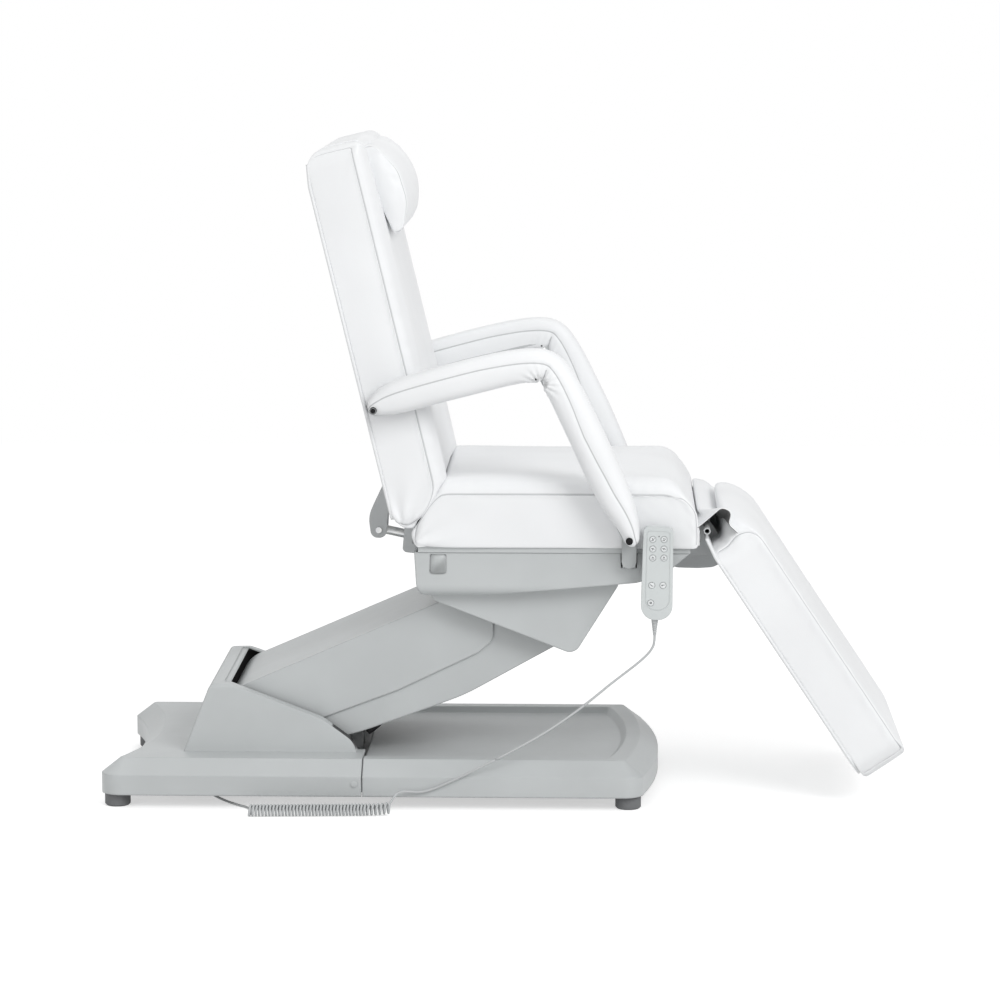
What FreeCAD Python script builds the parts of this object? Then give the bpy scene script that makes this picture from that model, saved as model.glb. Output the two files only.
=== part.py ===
import FreeCAD, Part
import math
import os

# Beauty treatment chair on a parallel lift arm, in millimetres.
# +X points to the feet end, +Z up, and the near side with the handset is at -Y.
# The chair is modelled with X = 0 over the middle of the base and moved to its own middle at the end.
# A side outline is a list of (x, z, corner radius), and angles are counter-clockwise seen from -Y.

os.makedirs("parts", exist_ok=True)
V = FreeCAD.Vector

# Fits and walls
RUN = 0.05              # radial clearance of turning pins
SIT = 0.3               # gap between pieces that sit against each other
WALL = 4.0              # moulded covers
PLATE = 6.0             # steel lugs and levers
EAR_GAP = 0.5           # side clearance between the ears of a pivot

# Base
BASE_LENGTH = 1036.0
BASE_WIDTH = 600.0
BASE_CORNER = 40.0
FRONT_BULGE = 30.0      # the foot end is bowed out
REAR_NOTCH = 50.0       # the head end is hollowed between two lobes
FOOT_HEIGHT = 26.0
FOOT_RADIUS = 24.5
FOOT_NECK = 12.0
SKIRT_HEIGHT = 38.0     # upright side of the covers
SHOULDER_RISE = 28.0
SHOULDER_INSET = 36.0
TRAY_INSET = 62.0
TRAY_DEPTH = 11.0
COVER_SPLIT = 197.0     # joint between the two covers, ahead of the arm pivot
SPLIT_GAP = 2.0
HUMP_TOP = 224.0
HUMP_SIDE = 43.0        # hump side outside the arm cover
CHANNEL_SIDE = 13.0     # open channel beside the arm cover
CHANNEL_REAR = -75.0    # rear end of the channel, from the arm pivot
RAIL = 34.0
RAIL_INSET = 38.0       # middle of the side rails inside the base edge
RAIL_WALL = 3.0
FOOT_INSET = 30.0       # feet behind the base ends
COVER_RIBS = 4          # stiffening ribs along each side of a cover

# Lift arm
ARM_PIVOT = (-215.0, 150.0)
ARM_RUN = 560.0
ARM_RISE = 185.0
ARM_HALF = 165.0        # half width of the upper cover
COVER_LAP = 12.0        # the lower cover reaches this far behind the upper one
BEAM_HALF = 118.0
BEAM_HEIGHT = 64.0
SHAFT_RADIUS = 12.0
UPRIGHT = 8.0
UPRIGHT_GAP = 7.0       # arm cover to the pivot uprights
LINK_OFFSET = (-22.0, 46.0)
LINK_Y = 67.0
LINK_THICK = 10.0
LINK_RADIUS = 12.0
PIN_RADIUS = 6.0
LIFT_ANCHOR = (170.0, -50.0)    # actuator foot, from the arm pivot
LIFT_LUG = (415.0, 150.0)       # actuator rod end on the arm, from the arm pivot

# Seat, placed from the upper pivot of the lift arm
HINGE_SETBACK = 279.0   # back hinge behind the upper pivot
SEAT_ABOVE = 167.0      # cushion underside above the upper pivot
SEAT_SPAN = 568.0       # back hinge to leg hinge
BACK_HINGE_UP = 30.0
LEG_HINGE_UP = 32.6
CUSHION_HALF = 268.0
CUSHION_PULL = 5.0      # how far the long sides draw in
CUSHION_SWELL = 1.5     # the plan runs this far past the section at its corners
SEAT_SEAM = 103.0       # height of the side seam above the cushion underside
SEAT_CROWN = 17.0       # bolster above the seam
BOARD = 12.0
HOUSING_INSET = 12.0    # housing top edge inside the cushion
HOUSING_DEPTH = 86.0
CHIN_SIDE = 41.0        # chin cheek outside the arm cover
SEAT_RAIL = 30.0
ACTUATOR_DROP = 74.0    # hidden actuator pins under the cushion underside

# Backrest, modelled lying flat behind its hinge
BACK_TILT = 76.4        # from flat to the upright position of the photograph
BACK_LENGTH = 738.0
BACK_REAR = 17.0        # cushion back face below the hinge line when flat
BACK_SEAM = 72.0
BACK_CROWN = 16.0
BACK_BOARD = 6.0
BACK_LEVER = (-66.5, -35.5)     # lever pin from the back hinge, upright
KNUCKLE_Y = 108.0
KNUCKLE = 14.0

# Legrest, modelled lying flat in front of its hinge
LEG_TILT = 56.3
LEG_START = 38.0
LEG_END = 567.0
LEG_REAR = 12.0
LEG_SEAM = 80.0
LEG_CROWN = 9.0
LEG_BOARD = 8.0
LEG_LEVER = (-62.0, -88.6)      # lever pin from the leg hinge, at rest
LEG_TUBE_RADIUS = 6.5

# Armrests, from the seat hinge corner
ARM_FRONT = (421.3, 23.1)       # bolt on the seat
ARM_BEND = (254.0, 347.0)
ARM_BACK = (-56.3, 266.8)       # bolt at the backrest
ARMREST_WIDTH = 60.0
ARMREST_GAP = 8.0               # cushion side to armrest
ARM_ROUND = 36.0
ARM_BAR = 7.5
ARM_BAR_RADIUS = 13.0
ARM_BOLT = 5.0
ARM_BACK_SLACK = 11.0           # the rear bolt rides in a hole this much wider

# Actuators
ROD_RADIUS = 9.0
TUBE_RADIUS = 18.0
MOTOR_RADIUS = 22.0
MOTOR_OFFSET = 46.0
EYE_WALL = 5.0
EYE_PIN = 5.0
ROD_EYE = 13.0
ROD_EYE_HALF = 17.0
NOSE = 8.0              # cone at the tube's mouth
GEAR_LENGTH = 30.0

# Headrest
PILLOW_HALF = 200.0
PILLOW_DROP = 14.0      # below the top of the backrest
PILLOW_HEIGHT = 178.0
PILLOW_DEPTH = 54.0
STRAP_HALF = 150.0
STRAP = 3.0
STRAP_TAIL = 120.0      # strap down the back of the backrest

# Vinyl flap over the leg hinge
FLAP = 2.2
FLAP_INSET = 6.0        # flap ends inside the cushion sides

# Control box under the tray
CONTROL_LENGTH = 170.0
CONTROL_HALF = 70.0
GROOVES = 12

# Handset and its cord
HANDSET_PLACE = (476.0, -42.0)  # middle of the handset, from the seat hinge corner
HANDSET_LOW = -89.0
HANDSET_THICK = 24.0
HANDSET_WALL = 2.5
KEY_ROWS = (64.6, 46.6, 29.5)
KEY_PITCH = 21.0
MEMORY_KEYS = (-1.5, -22.5)     # middle of the pair of memory keys
STOP_KEY = (-13.8, -56.0)
KEY_RADIUS = 5.3
KEY_GAP = 0.3
KEY_PROUD = 1.2
CORD = 4.6
CORD_SIDES = 6          # faces round the cord's solid
CURL_RADIUS = 9.7
TIGHT_TURNS = 35
LOOSE_TURNS = 6
TIGHT_PITCH = 6.35
LOOSE_PITCH = 8.0
COIL_OUT = 58.0         # curly cord outside the base edge
COIL_SKEW = 15.0
COIL_AHEAD = 159.0      # curly cord ahead of the gland
GLAND = 14.0
GLAND_HEIGHT = 45.0
GLAND_INSET = 72.0      # gland inside the middle of the side rail
RELIEF = 32.0


def plus(point, x, z):
    return (point[0] + x, point[1] + z)


def moved(origin, points):
    """Corner points (x, z, radius) set off from an origin."""
    return [(origin[0] + x, origin[1] + z, r) for x, z, r in points]


def rounded_face(points, to_space):
    """Closed face through corner points, each corner rounded to its own radius."""
    corners = [to_space(a, b) for a, b, r in points]
    starts, middles, ends = [], [], []
    for i, corner in enumerate(corners):
        before = (corners[i - 1] - corner).normalize()
        after = (corners[(i + 1) % len(corners)] - corner).normalize()
        half = before.getAngle(after) / 2
        radius = points[i][2]
        reach = radius / math.tan(half)
        starts.append(corner + before * reach)
        ends.append(corner + after * reach)
        sagitta = radius / math.sin(half) - radius
        middles.append(corner + (before + after).normalize() * sagitta)
    edges = []
    for i, corner in enumerate(corners):
        if points[i][2]:
            edges.append(Part.Arc(starts[i], middles[i], ends[i]).toShape())
        following = starts[(i + 1) % len(corners)]
        if (following - ends[i]).Length > 1e-4:
            edges.append(Part.LineSegment(ends[i], following).toShape())
    return Part.Face(Part.Wire(edges))


def slab(points, y_low, y_high):
    """Side outline carried across from y_low to y_high."""
    face = rounded_face(points, lambda a, b: V(a, y_low, b))
    return face.extrude(V(0, y_high - y_low, 0))


def inset_slab(points, inset, half):
    """Side outline drawn in by a wall and carried across both ways from the middle."""
    face = rounded_face(points, lambda a, b: V(a, -half, b))
    if inset:
        face = face.makeOffset2D(-inset)
    return face.extrude(V(0, 2 * half, 0))


def crosswise(points, x_low, x_high):
    """Cross section of (y, z, radius) carried along X."""
    face = rounded_face(points, lambda a, b: V(x_low, a, b))
    return face.extrude(V(x_high - x_low, 0, 0))


def box(x, y, z):
    """Box between pairs of limits."""
    return Part.makeBox(x[1] - x[0], y[1] - y[0], z[1] - z[0], V(x[0], y[0], z[0]))


def rod_y(point, radius, y_low, y_high):
    """Round bar across the chair at a point of the side view."""
    return Part.makeCylinder(radius, y_high - y_low, V(point[0], y_low, point[1]), V(0, 1, 0))


def bar(start, end, radius, y_low, y_high):
    """Flat bar with round ends between two points of the side view."""
    along = V(end[0] - start[0], 0, end[1] - start[1]).normalize()
    across = V(-along.z, 0, along.x) * radius
    p = V(start[0], y_low, start[1])
    q = V(end[0], y_low, end[1])
    tip = along * radius
    edges = [
        Part.LineSegment(p - across, q - across).toShape(),
        Part.Arc(q - across, q + tip, q + across).toShape(),
        Part.LineSegment(q + across, p + across).toShape(),
        Part.Arc(p + across, p - tip, p - across).toShape(),
    ]
    return Part.Face(Part.Wire(edges)).extrude(V(0, y_high - y_low, 0))


def box_tube(x, y, z, axis):
    """Square tube open at both ends along one axis."""
    core = [(low + RAIL_WALL, high - RAIL_WALL) for low, high in (x, y, z)]
    core[axis] = (x, y, z)[axis]
    return box(x, y, z).cut(box(*core))


def joined(shapes):
    return shapes[0].fuse(shapes[1:]).removeSplitter()


def both_sides(shape):
    """A shape with its mirror image on the other side of the chair."""
    return [shape, shape.mirror(V(0, 0, 0), V(0, 1, 0))]


def turned(shape, point, angle):
    """Turned counter-clockwise, seen from -Y, about a point of the side view."""
    return shape.rotated(V(point[0], 0, point[1]), V(0, -1, 0), angle)


def spin(point, angle):
    """A point of the side view turned counter-clockwise about the origin."""
    c = math.cos(math.radians(angle))
    s = math.sin(math.radians(angle))
    return (point[0] * c - point[1] * s, point[0] * s + point[1] * c)


def shift(shape, point):
    return shape.translated(V(point[0], 0, point[1]))


nodes = {}

# Places worked out from the driving dimensions
BASE_TOP = FOOT_HEIGHT + SKIRT_HEIGHT + SHOULDER_RISE
RAIL_LOW = FOOT_HEIGHT + 4
RAIL_TOP = RAIL_LOW + RAIL
RAIL_OFFSET = BASE_WIDTH / 2 - RAIL_INSET
FOOT_REACH = BASE_LENGTH / 2 - FOOT_INSET
SPLIT_X = ARM_PIVOT[0] + COVER_SPLIT
HUMP_HALF = ARM_HALF + HUMP_SIDE
CHANNEL_HALF = ARM_HALF + CHANNEL_SIDE
LOWER_HALF = ARM_HALF - WALL - SIT
UPRIGHT_Y = ARM_HALF + UPRIGHT_GAP
SEAT_RAIL_Y = UPRIGHT_Y + UPRIGHT - SEAT_RAIL
HOUSING_HALF = CUSHION_HALF - HOUSING_INSET
CHIN_HALF = ARM_HALF + CHIN_SIDE
PILLOW_TOP = BACK_LENGTH - PILLOW_DROP
PILLOW_BOTTOM = PILLOW_TOP - PILLOW_HEIGHT
LIFT_TOP = plus(ARM_PIVOT, ARM_RUN, ARM_RISE)
SEAT = plus(LIFT_TOP, -HINGE_SETBACK, SEAT_ABOVE)
BACK_HINGE = plus(SEAT, 0, BACK_HINGE_UP)
LEG_HINGE = plus(SEAT, SEAT_SPAN, LEG_HINGE_UP)
LINK_LOW = plus(ARM_PIVOT, *LINK_OFFSET)
LINK_TOP = plus(LIFT_TOP, *LINK_OFFSET)
LIFT_FOOT = plus(ARM_PIVOT, *LIFT_ANCHOR)
LIFT_PIN = plus(ARM_PIVOT, *LIFT_LUG)
BACK_PIN = plus(BACK_HINGE, *BACK_LEVER)
LEG_PIN = plus(LEG_HINGE, *LEG_LEVER)
BACK_FAR = (LIFT_TOP[0] - 27, SEAT[1] - ACTUATOR_DROP)
LEG_FAR = (LIFT_TOP[0] + 17, SEAT[1] - ACTUATOR_DROP)
F_BOLT = plus(SEAT, *ARM_FRONT)
E_BEND = plus(SEAT, *ARM_BEND)
B_BOLT = plus(SEAT, *ARM_BACK)


# Base covers: one lofted body with a sloping shoulder, hollowed and split in two.
def base_plan(inset, z):
    half_l = BASE_LENGTH / 2 - inset
    half_w = BASE_WIDTH / 2 - inset
    r = max(BASE_CORNER - inset, BASE_CORNER / 5)
    bow = r * (1 - math.sqrt(0.5))

    def corner(sx, sy, along_x_first):
        ends = [V(sx * (half_l - r), sy * half_w, z), V(sx * half_l, sy * (half_w - r), z)]
        middle = V(sx * (half_l - bow), sy * (half_w - bow), z)
        if not along_x_first:
            ends.reverse()
        return Part.Arc(ends[0], middle, ends[1]).toShape()

    front = Part.Arc(V(half_l, -half_w + r, z), V(half_l + FRONT_BULGE, 0, z), V(half_l, half_w - r, z))
    rear = Part.Arc(V(-half_l, half_w - r, z), V(-half_l + REAR_NOTCH, 0, z), V(-half_l, -half_w + r, z))
    edges = [
        Part.LineSegment(V(-half_l + r, -half_w, z), V(half_l - r, -half_w, z)).toShape(),
        corner(1, -1, True),
        front.toShape(),
        corner(1, 1, False),
        Part.LineSegment(V(half_l - r, half_w, z), V(-half_l + r, half_w, z)).toShape(),
        corner(-1, 1, True),
        rear.toShape(),
        corner(-1, -1, False),
    ]
    return Part.Wire(edges)


def base_body(inset, low, drop):
    skirt = FOOT_HEIGHT + SKIRT_HEIGHT - drop
    levels = [(inset, low), (inset, skirt), (inset + SHOULDER_INSET, BASE_TOP - drop)]
    return Part.makeLoft([base_plan(*level) for level in levels], True, True)


def tray_body(extra, floor):
    rings = [base_plan(TRAY_INSET + TRAY_DEPTH - extra, floor), base_plan(TRAY_INSET - extra, BASE_TOP + 1)]
    return Part.makeLoft(rings, True, True)


hump_low = FOOT_HEIGHT + SKIRT_HEIGHT
hump_outline = [
    (ARM_PIVOT[0] - 156, hump_low, 0),
    (ARM_PIVOT[0] - 152, BASE_TOP, 4),
    (ARM_PIVOT[0] - 101, HUMP_TOP - 2, 14),
    (ARM_PIVOT[0] - 63, HUMP_TOP, 12),
    (SPLIT_X - 82, HUMP_TOP - 68, 90),
    (SPLIT_X - 22, BASE_TOP + 20, 40),
    (SPLIT_X - 8, hump_low, 0),
]


def hump_body(inset):
    half = HUMP_HALF - inset
    draft = 8
    top = HUMP_TOP - inset
    section = [(-half, hump_low, 0), (half, hump_low, 0), (half - draft, top, 10), (-half + draft, top, 10)]
    whole = crosswise(section, -BASE_LENGTH / 2, SPLIT_X)
    return whole.common(inset_slab(hump_outline, inset, BASE_WIDTH))


floor_z = BASE_TOP - TRAY_DEPTH
outer = base_body(0, FOOT_HEIGHT, 0)
inner = base_body(WALL, FOOT_HEIGHT - 1, WALL)
rail_reach = FOOT_REACH + 9
rail_y = (RAIL_OFFSET - RAIL / 2, RAIL_OFFSET + RAIL / 2)
rail_z = (RAIL_LOW, RAIL_TOP)


def cover_ribs(x_low, x_high):
    """Cross ribs under a cover, standing on the side rails."""
    step = (x_high - x_low) / (COVER_RIBS - 1)
    ribs = []
    for i in range(COVER_RIBS):
        x = x_low + i * step
        ribs += both_sides(box((x - 1.5, x + 1.5), (rail_y[0], BASE_WIDTH / 2), (RAIL_TOP + SIT, BASE_TOP)))
    return [rib.common(inner) for rib in ribs]


whole_y = (-BASE_WIDTH, BASE_WIDTH)
front_half = box((SPLIT_X + SPLIT_GAP / 2, BASE_LENGTH), whole_y, (0, BASE_LENGTH))
rear_half = box((-BASE_LENGTH, SPLIT_X - SPLIT_GAP / 2), whole_y, (0, BASE_LENGTH))
hollow_front = inner.cut(tray_body(WALL, floor_z - WALL))
front_shell = outer.cut(hollow_front).fuse(cover_ribs(SPLIT_X + 20, rail_reach - 20))
nodes["base_cover_front"] = front_shell.cut(tray_body(0, floor_z)).common(front_half)

channel_x = (ARM_PIVOT[0] + CHANNEL_REAR, SPLIT_X)
channel = box(channel_x, (-CHANNEL_HALF, CHANNEL_HALF), (FOOT_HEIGHT - 1, HUMP_TOP + 1))
hump_x = (ARM_PIVOT[0] - 151, SPLIT_X - 18)
hump_mouth = box(hump_x, (-HUMP_HALF + WALL, HUMP_HALF - WALL), (FOOT_HEIGHT, BASE_TOP - WALL))
rear_shell = outer.fuse(hump_body(0)).cut([inner, hump_body(WALL), hump_mouth])
rear_shell = rear_shell.fuse(cover_ribs(-rail_reach + 20, SPLIT_X - 20))
nodes["base_cover_rear"] = rear_shell.common(rear_half).cut(channel)

# Base frame: two side rails, cross tubes and the uprights that carry the pivots.
frame = both_sides(box_tube((-rail_reach, rail_reach), rail_y, rail_z, 0))
rear_tube = (-rail_reach + 57, -rail_reach + 97)
front_tube = (rail_reach - 77, rail_reach - 37)
arm_tube = (ARM_PIVOT[0] - 55, ARM_PIVOT[0] + 25)
lift_tube = (LIFT_FOOT[0] - 25, LIFT_FOOT[0] + 25)
for limits in (rear_tube, arm_tube, lift_tube, front_tube):
    frame.append(box_tube(limits, (-rail_y[0] - 1, rail_y[0] + 1), rail_z, 1))
frame += both_sides(bar(ARM_PIVOT, (ARM_PIVOT[0], RAIL_TOP), 26, UPRIGHT_Y, UPRIGHT_Y + UPRIGHT))
link_far = LINK_Y + LINK_THICK
link_ear_y = [(LINK_Y - EAR_GAP - PLATE, LINK_Y - EAR_GAP), (link_far + EAR_GAP, link_far + EAR_GAP + PLATE)]
for low, high in link_ear_y:
    frame.append(bar(LINK_LOW, (LINK_LOW[0] - 18, RAIL_TOP), LINK_RADIUS + 1, low, high))
eye_ear = 24.0
frame += both_sides(bar(LIFT_FOOT, (LIFT_FOOT[0], RAIL_TOP), 12, eye_ear, eye_ear + PLATE))
pin_holes = [
    rod_y(ARM_PIVOT, SHAFT_RADIUS + RUN, -BASE_WIDTH, BASE_WIDTH),
    rod_y(LINK_LOW, PIN_RADIUS + RUN, 0, BASE_WIDTH),
    rod_y(LIFT_FOOT, EYE_PIN + RUN, -eye_ear - PLATE, eye_ear + PLATE),
]
nodes["base_frame"] = joined(frame).cut(pin_holes)

link_pin = (link_ear_y[0][0] - 1, link_ear_y[1][1] + 1)
shaft = (-UPRIGHT_Y - UPRIGHT - 1, UPRIGHT_Y + UPRIGHT + 1)
eye_pin = (-eye_ear - PLATE - 1, eye_ear + PLATE + 1)
nodes["base_pivot_pins"] = Part.makeCompound([
    rod_y(ARM_PIVOT, SHAFT_RADIUS, *shaft),
    rod_y(LINK_LOW, PIN_RADIUS, *link_pin),
    rod_y(LIFT_FOOT, EYE_PIN, *eye_pin),
])


# Rubber feet: a turned profile with a bevelled sole, seated on the rails.
def foot(x, y):
    profile = [
        (0, 0), (FOOT_RADIUS - 3, 0), (FOOT_RADIUS, 3), (FOOT_RADIUS, FOOT_HEIGHT - 3),
        (FOOT_RADIUS - 4, FOOT_HEIGHT), (FOOT_NECK, FOOT_HEIGHT), (FOOT_NECK, RAIL_LOW),
        (0, RAIL_LOW), (0, 0),
    ]
    face = Part.Face(Part.makePolygon([V(r, 0, z) for r, z in profile]))
    return face.revolve(V(0, 0, 0), V(0, 0, 1), 360).translated(V(x, y, 0))


nodes["rubber_feet"] = Part.makeCompound(
    [foot(sx * FOOT_REACH, sy * RAIL_OFFSET) for sx in (-1, 1) for sy in (-1, 1)])

# Control box with cooling grooves, fixed to the front cross tube under the tray.
control_top = floor_z - WALL - 3
control_x = (front_tube[0] - CONTROL_LENGTH, front_tube[0])
control = box(control_x, (-CONTROL_HALF, CONTROL_HALF), (RAIL_LOW, control_top))
groove_step = CONTROL_LENGTH / (GROOVES + 2)
for i in range(GROOVES):
    x = control_x[0] + (i + 1) * groove_step
    groove = box((x, x + 4), (-CONTROL_HALF + 10, CONTROL_HALF - 10), (control_top - 3, BASE_TOP))
    control = control.cut(groove)
nodes["control_box"] = control


# Lift arm: two side plates with hubs, tied by cross tubes.
def arm_plate(y_low, y_high):
    return bar(ARM_PIVOT, LIFT_TOP, BEAM_HEIGHT / 2, y_low, y_high)


tie = plus(ARM_PIVOT, 0.82 * ARM_RUN, 0.82 * ARM_RISE)
beam = both_sides(arm_plate(BEAM_HALF - 8, BEAM_HALF))
beam += both_sides(rod_y(ARM_PIVOT, 20, BEAM_HALF - 26, ARM_HALF - WALL - SIT))
beam += both_sides(rod_y(LIFT_TOP, 20, BEAM_HALF - 26, LOWER_HALF - WALL - SIT))
beam.append(rod_y(tie, 14, -BEAM_HALF + 1, BEAM_HALF - 1))
beam.append(rod_y(LIFT_PIN, EYE_PIN + 3, -BEAM_HALF + 1, BEAM_HALF - 1))
shaft_bores = [rod_y(p, SHAFT_RADIUS + RUN, -BASE_WIDTH, BASE_WIDTH) for p in (ARM_PIVOT, LIFT_TOP)]
nodes["lift_arm_beam"] = joined(beam).cut(shaft_bores)

# Arm covers: one hollow outline, parted along the panel line with a lap joint.
arm_outline = moved(ARM_PIVOT, [(-74, -75, 60), (171, -33, 400), (387, 46, 400)])
arm_outline += moved(LIFT_TOP, [(-55, -73, 150), (57, -11, 35), (57, 63, 45), (-195, 55, 60)])
arm_outline += moved(ARM_PIVOT, [(-76, 48.4, 60)])
panel_line = moved(ARM_PIVOT, [(-115, -90, 0), (111, -0.5, 0), (260, 56, 0)])
panel_line += moved(LIFT_TOP, [(-146, -55, 20), (-117, -30, 28), (-117, 185, 0)])
panel_line += moved(ARM_PIVOT, [(-115, 370, 0)])


def arm_shell(half):
    shell = slab(arm_outline, -half, half).cut(inset_slab(arm_outline, WALL, half - WALL))
    reach = half - WALL
    under = box((ARM_PIVOT[0] - 90, ARM_PIVOT[0] + 310), (-reach, reach), (0, ARM_PIVOT[1] + 35))
    over = box((LIFT_TOP[0] - 130, LIFT_TOP[0] + 60), (-reach, reach), (LIFT_TOP[1] + 5, LIFT_TOP[1] + 70))
    holes = [rod_y(p, SHAFT_RADIUS + 1, *whole_y) for p in (ARM_PIVOT, LIFT_TOP)]
    return shell.cut([under, over] + holes)


upper_zone = slab(panel_line, -BASE_WIDTH, BASE_WIDTH)
nodes["arm_cover_upper"] = arm_shell(ARM_HALF).common(upper_zone)
nodes["arm_cover_lower"] = arm_shell(LOWER_HALF).cut(shift(upper_zone, (0, COVER_LAP)))

# Parallel link that keeps the seat level.
link = bar(LINK_LOW, LINK_TOP, LINK_RADIUS, LINK_Y, LINK_Y + LINK_THICK)
link_bores = [
    rod_y(LINK_LOW, PIN_RADIUS + RUN, 0, BASE_WIDTH),
    rod_y(LINK_TOP, PIN_RADIUS + 4 * RUN, 0, BASE_WIDTH),
]
nodes["parallel_link"] = link.cut(link_bores)


# Actuators: a rod turning on the driven pin, and a tube with its motor that slides on the rod.
# The tube's far eye is wider than its pin, because the true path there is a curve.
# The spare is the bore left past the rod's end at rest.
def actuator(pin, far, pin_radius, spare, tube_start, slack, motor_side, motor_length):
    length = math.hypot(far[0] - pin[0], far[1] - pin[1])
    angle = math.degrees(math.atan2(far[1] - pin[1], far[0] - pin[0]))
    x_axis = V(1, 0, 0)
    eye_bore = EYE_PIN + slack
    eye = eye_bore + EYE_WALL
    bore_start = tube_start - NOSE - 1
    bore_length = length - eye - tube_start
    rod_length = bore_start + bore_length - spare
    rod = joined([
        rod_y((0, 0), ROD_EYE, -ROD_EYE_HALF, ROD_EYE_HALF),
        Part.makeCylinder(ROD_RADIUS, rod_length, V(0, 0, 0), x_axis),
    ]).cut(rod_y((0, 0), pin_radius + RUN, -BASE_WIDTH, BASE_WIDTH))
    body = Part.makeCylinder(TUBE_RADIUS, length - eye_bore - 2 - tube_start, V(tube_start, 0, 0), x_axis)
    nose = Part.makeCone(ROD_RADIUS + 4, TUBE_RADIUS, NOSE, V(tube_start - NOSE, 0, 0), x_axis)
    gear_x = length - eye - GEAR_LENGTH - 4
    side = motor_side * (MOTOR_OFFSET + MOTOR_RADIUS + 2)
    gear_half = TUBE_RADIUS + 2
    corners = [(side, -gear_half), (side, gear_half), (-motor_side * gear_half, gear_half)]
    corners.append((-motor_side * gear_half, -gear_half))
    gear = crosswise([(y, z, 6) for y, z in corners], gear_x, gear_x + GEAR_LENGTH)
    motor_start = V(gear_x - motor_length, motor_side * MOTOR_OFFSET, 0)
    motor = Part.makeCylinder(MOTOR_RADIUS, motor_length + 1, motor_start, x_axis)
    ring = rod_y((length, 0), eye, -20, 20)
    bore = Part.makeCylinder(ROD_RADIUS + RUN, bore_length, V(bore_start, 0, 0), x_axis)
    tube = joined([body, nose, gear, motor, ring]).cut([bore, rod_y((length, 0), eye_bore, -21, 21)])
    return [shift(turned(piece, (0, 0), angle), pin) for piece in (rod, tube)]


actuators = {
    "lift": actuator(LIFT_PIN, LIFT_FOOT, EYE_PIN + 3, 66, 75, 5.5, -1, 62),
    "back": actuator(BACK_PIN, BACK_FAR, PIN_RADIUS, 117, 108, 9.5, -1, 62),
    "leg": actuator(LEG_PIN, LEG_FAR, PIN_RADIUS, 20, 42, 11, 1, 28),
}
for name, (rod, tube) in actuators.items():
    nodes[name + "_actuator_rod"] = rod
    nodes[name + "_actuator_tube"] = tube

# Seat frame: two rails with pivot ears, hinge ears and armrest lugs.
rail_top = SEAT[1] - BOARD - SIT
seat_rail_z = (rail_top - SEAT_RAIL, rail_top)
seat_rail_y = (SEAT_RAIL_Y, SEAT_RAIL_Y + SEAT_RAIL)
seat_rail_x = (SEAT[0] + 28, SEAT[0] + SEAT_SPAN - 76)
seat_frame = both_sides(box_tube(seat_rail_x, seat_rail_y, seat_rail_z, 0))
cross_x = (LIFT_TOP[0] - 20, LIFT_TOP[0] + 10)
seat_frame.append(box_tube(cross_x, (-SEAT_RAIL_Y - 1, SEAT_RAIL_Y + 1), seat_rail_z, 1))
seat_frame += both_sides(bar(LIFT_TOP, (LIFT_TOP[0], rail_top - 26), 26, UPRIGHT_Y, UPRIGHT_Y + UPRIGHT))
for low, high in link_ear_y:
    seat_frame.append(bar(LINK_TOP, (LIFT_TOP[0] - 8, rail_top - 14), LINK_RADIUS + 1, low, high))
eye_web = moved((LIFT_TOP[0], BACK_FAR[1]), [
    (-42, -13, 12), (32, -13, 12), (32, 20, 4), (10, 40, 4), (-20, 40, 4), (-42, 20, 4)])
seat_frame += both_sides(slab(eye_web, eye_ear, eye_ear + PLATE))
ear_y = (KNUCKLE_Y - PLATE - 0.5, KNUCKLE_Y + KNUCKLE + PLATE + 0.5)
stub = box_tube((SEAT[0] + 28, SEAT[0] + 58), (ear_y[0], SEAT_RAIL_Y + 1), seat_rail_z, 1)
seat_frame += both_sides(stub)
elbow = plus(SEAT, -5, -24)
ear = bar(plus(SEAT, 40, -28), elbow, 9, ear_y[0], ear_y[0] + PLATE)
ear = ear.fuse(bar(elbow, BACK_HINGE, 9, ear_y[0], ear_y[0] + PLATE))
ear_shift = V(0, ear_y[1] - PLATE - ear_y[0], 0)
seat_frame += both_sides(ear) + both_sides(ear.translated(ear_shift))
leg_ear_y = (SEAT_RAIL_Y + 2, SEAT_RAIL_Y + 2 + PLATE)
leg_elbow = plus(LEG_HINGE, -1.5, -54)
leg_ear = bar(plus(LEG_HINGE, -100, -60), leg_elbow, 9, *leg_ear_y)
leg_ear = leg_ear.fuse(bar(leg_elbow, LEG_HINGE, 10, *leg_ear_y))
seat_frame += both_sides(leg_ear)
lug_y = (CUSHION_HALF + 2.5, CUSHION_HALF + ARMREST_GAP - 1.5)
lug_foot = (F_BOLT[0], rail_top - 12)
seat_frame += both_sides(bar(F_BOLT, lug_foot, 14, *lug_y))
strut_y = (SEAT_RAIL_Y + SEAT_RAIL - 1, lug_y[1])
arm_strut = box((F_BOLT[0] - 12, F_BOLT[0] + 12), strut_y, (rail_top - 24, rail_top - 14))
seat_frame += both_sides(arm_strut)
seat_holes = [
    rod_y(LIFT_TOP, SHAFT_RADIUS + RUN, -BASE_WIDTH, BASE_WIDTH),
    rod_y(LINK_TOP, PIN_RADIUS + RUN, 0, BASE_WIDTH),
    rod_y(BACK_FAR, EYE_PIN + RUN, -eye_ear - PLATE, eye_ear + PLATE),
    rod_y(LEG_FAR, EYE_PIN + RUN, -eye_ear - PLATE, eye_ear + PLATE),
    rod_y(BACK_HINGE, PIN_RADIUS + RUN, -CUSHION_HALF, CUSHION_HALF),
    rod_y(LEG_HINGE, LEG_TUBE_RADIUS + RUN, -CUSHION_HALF, CUSHION_HALF),
    rod_y(F_BOLT, ARM_BOLT + RUN, -BASE_WIDTH, BASE_WIDTH),
]
nodes["seat_frame"] = joined(seat_frame).cut(seat_holes)

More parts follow.
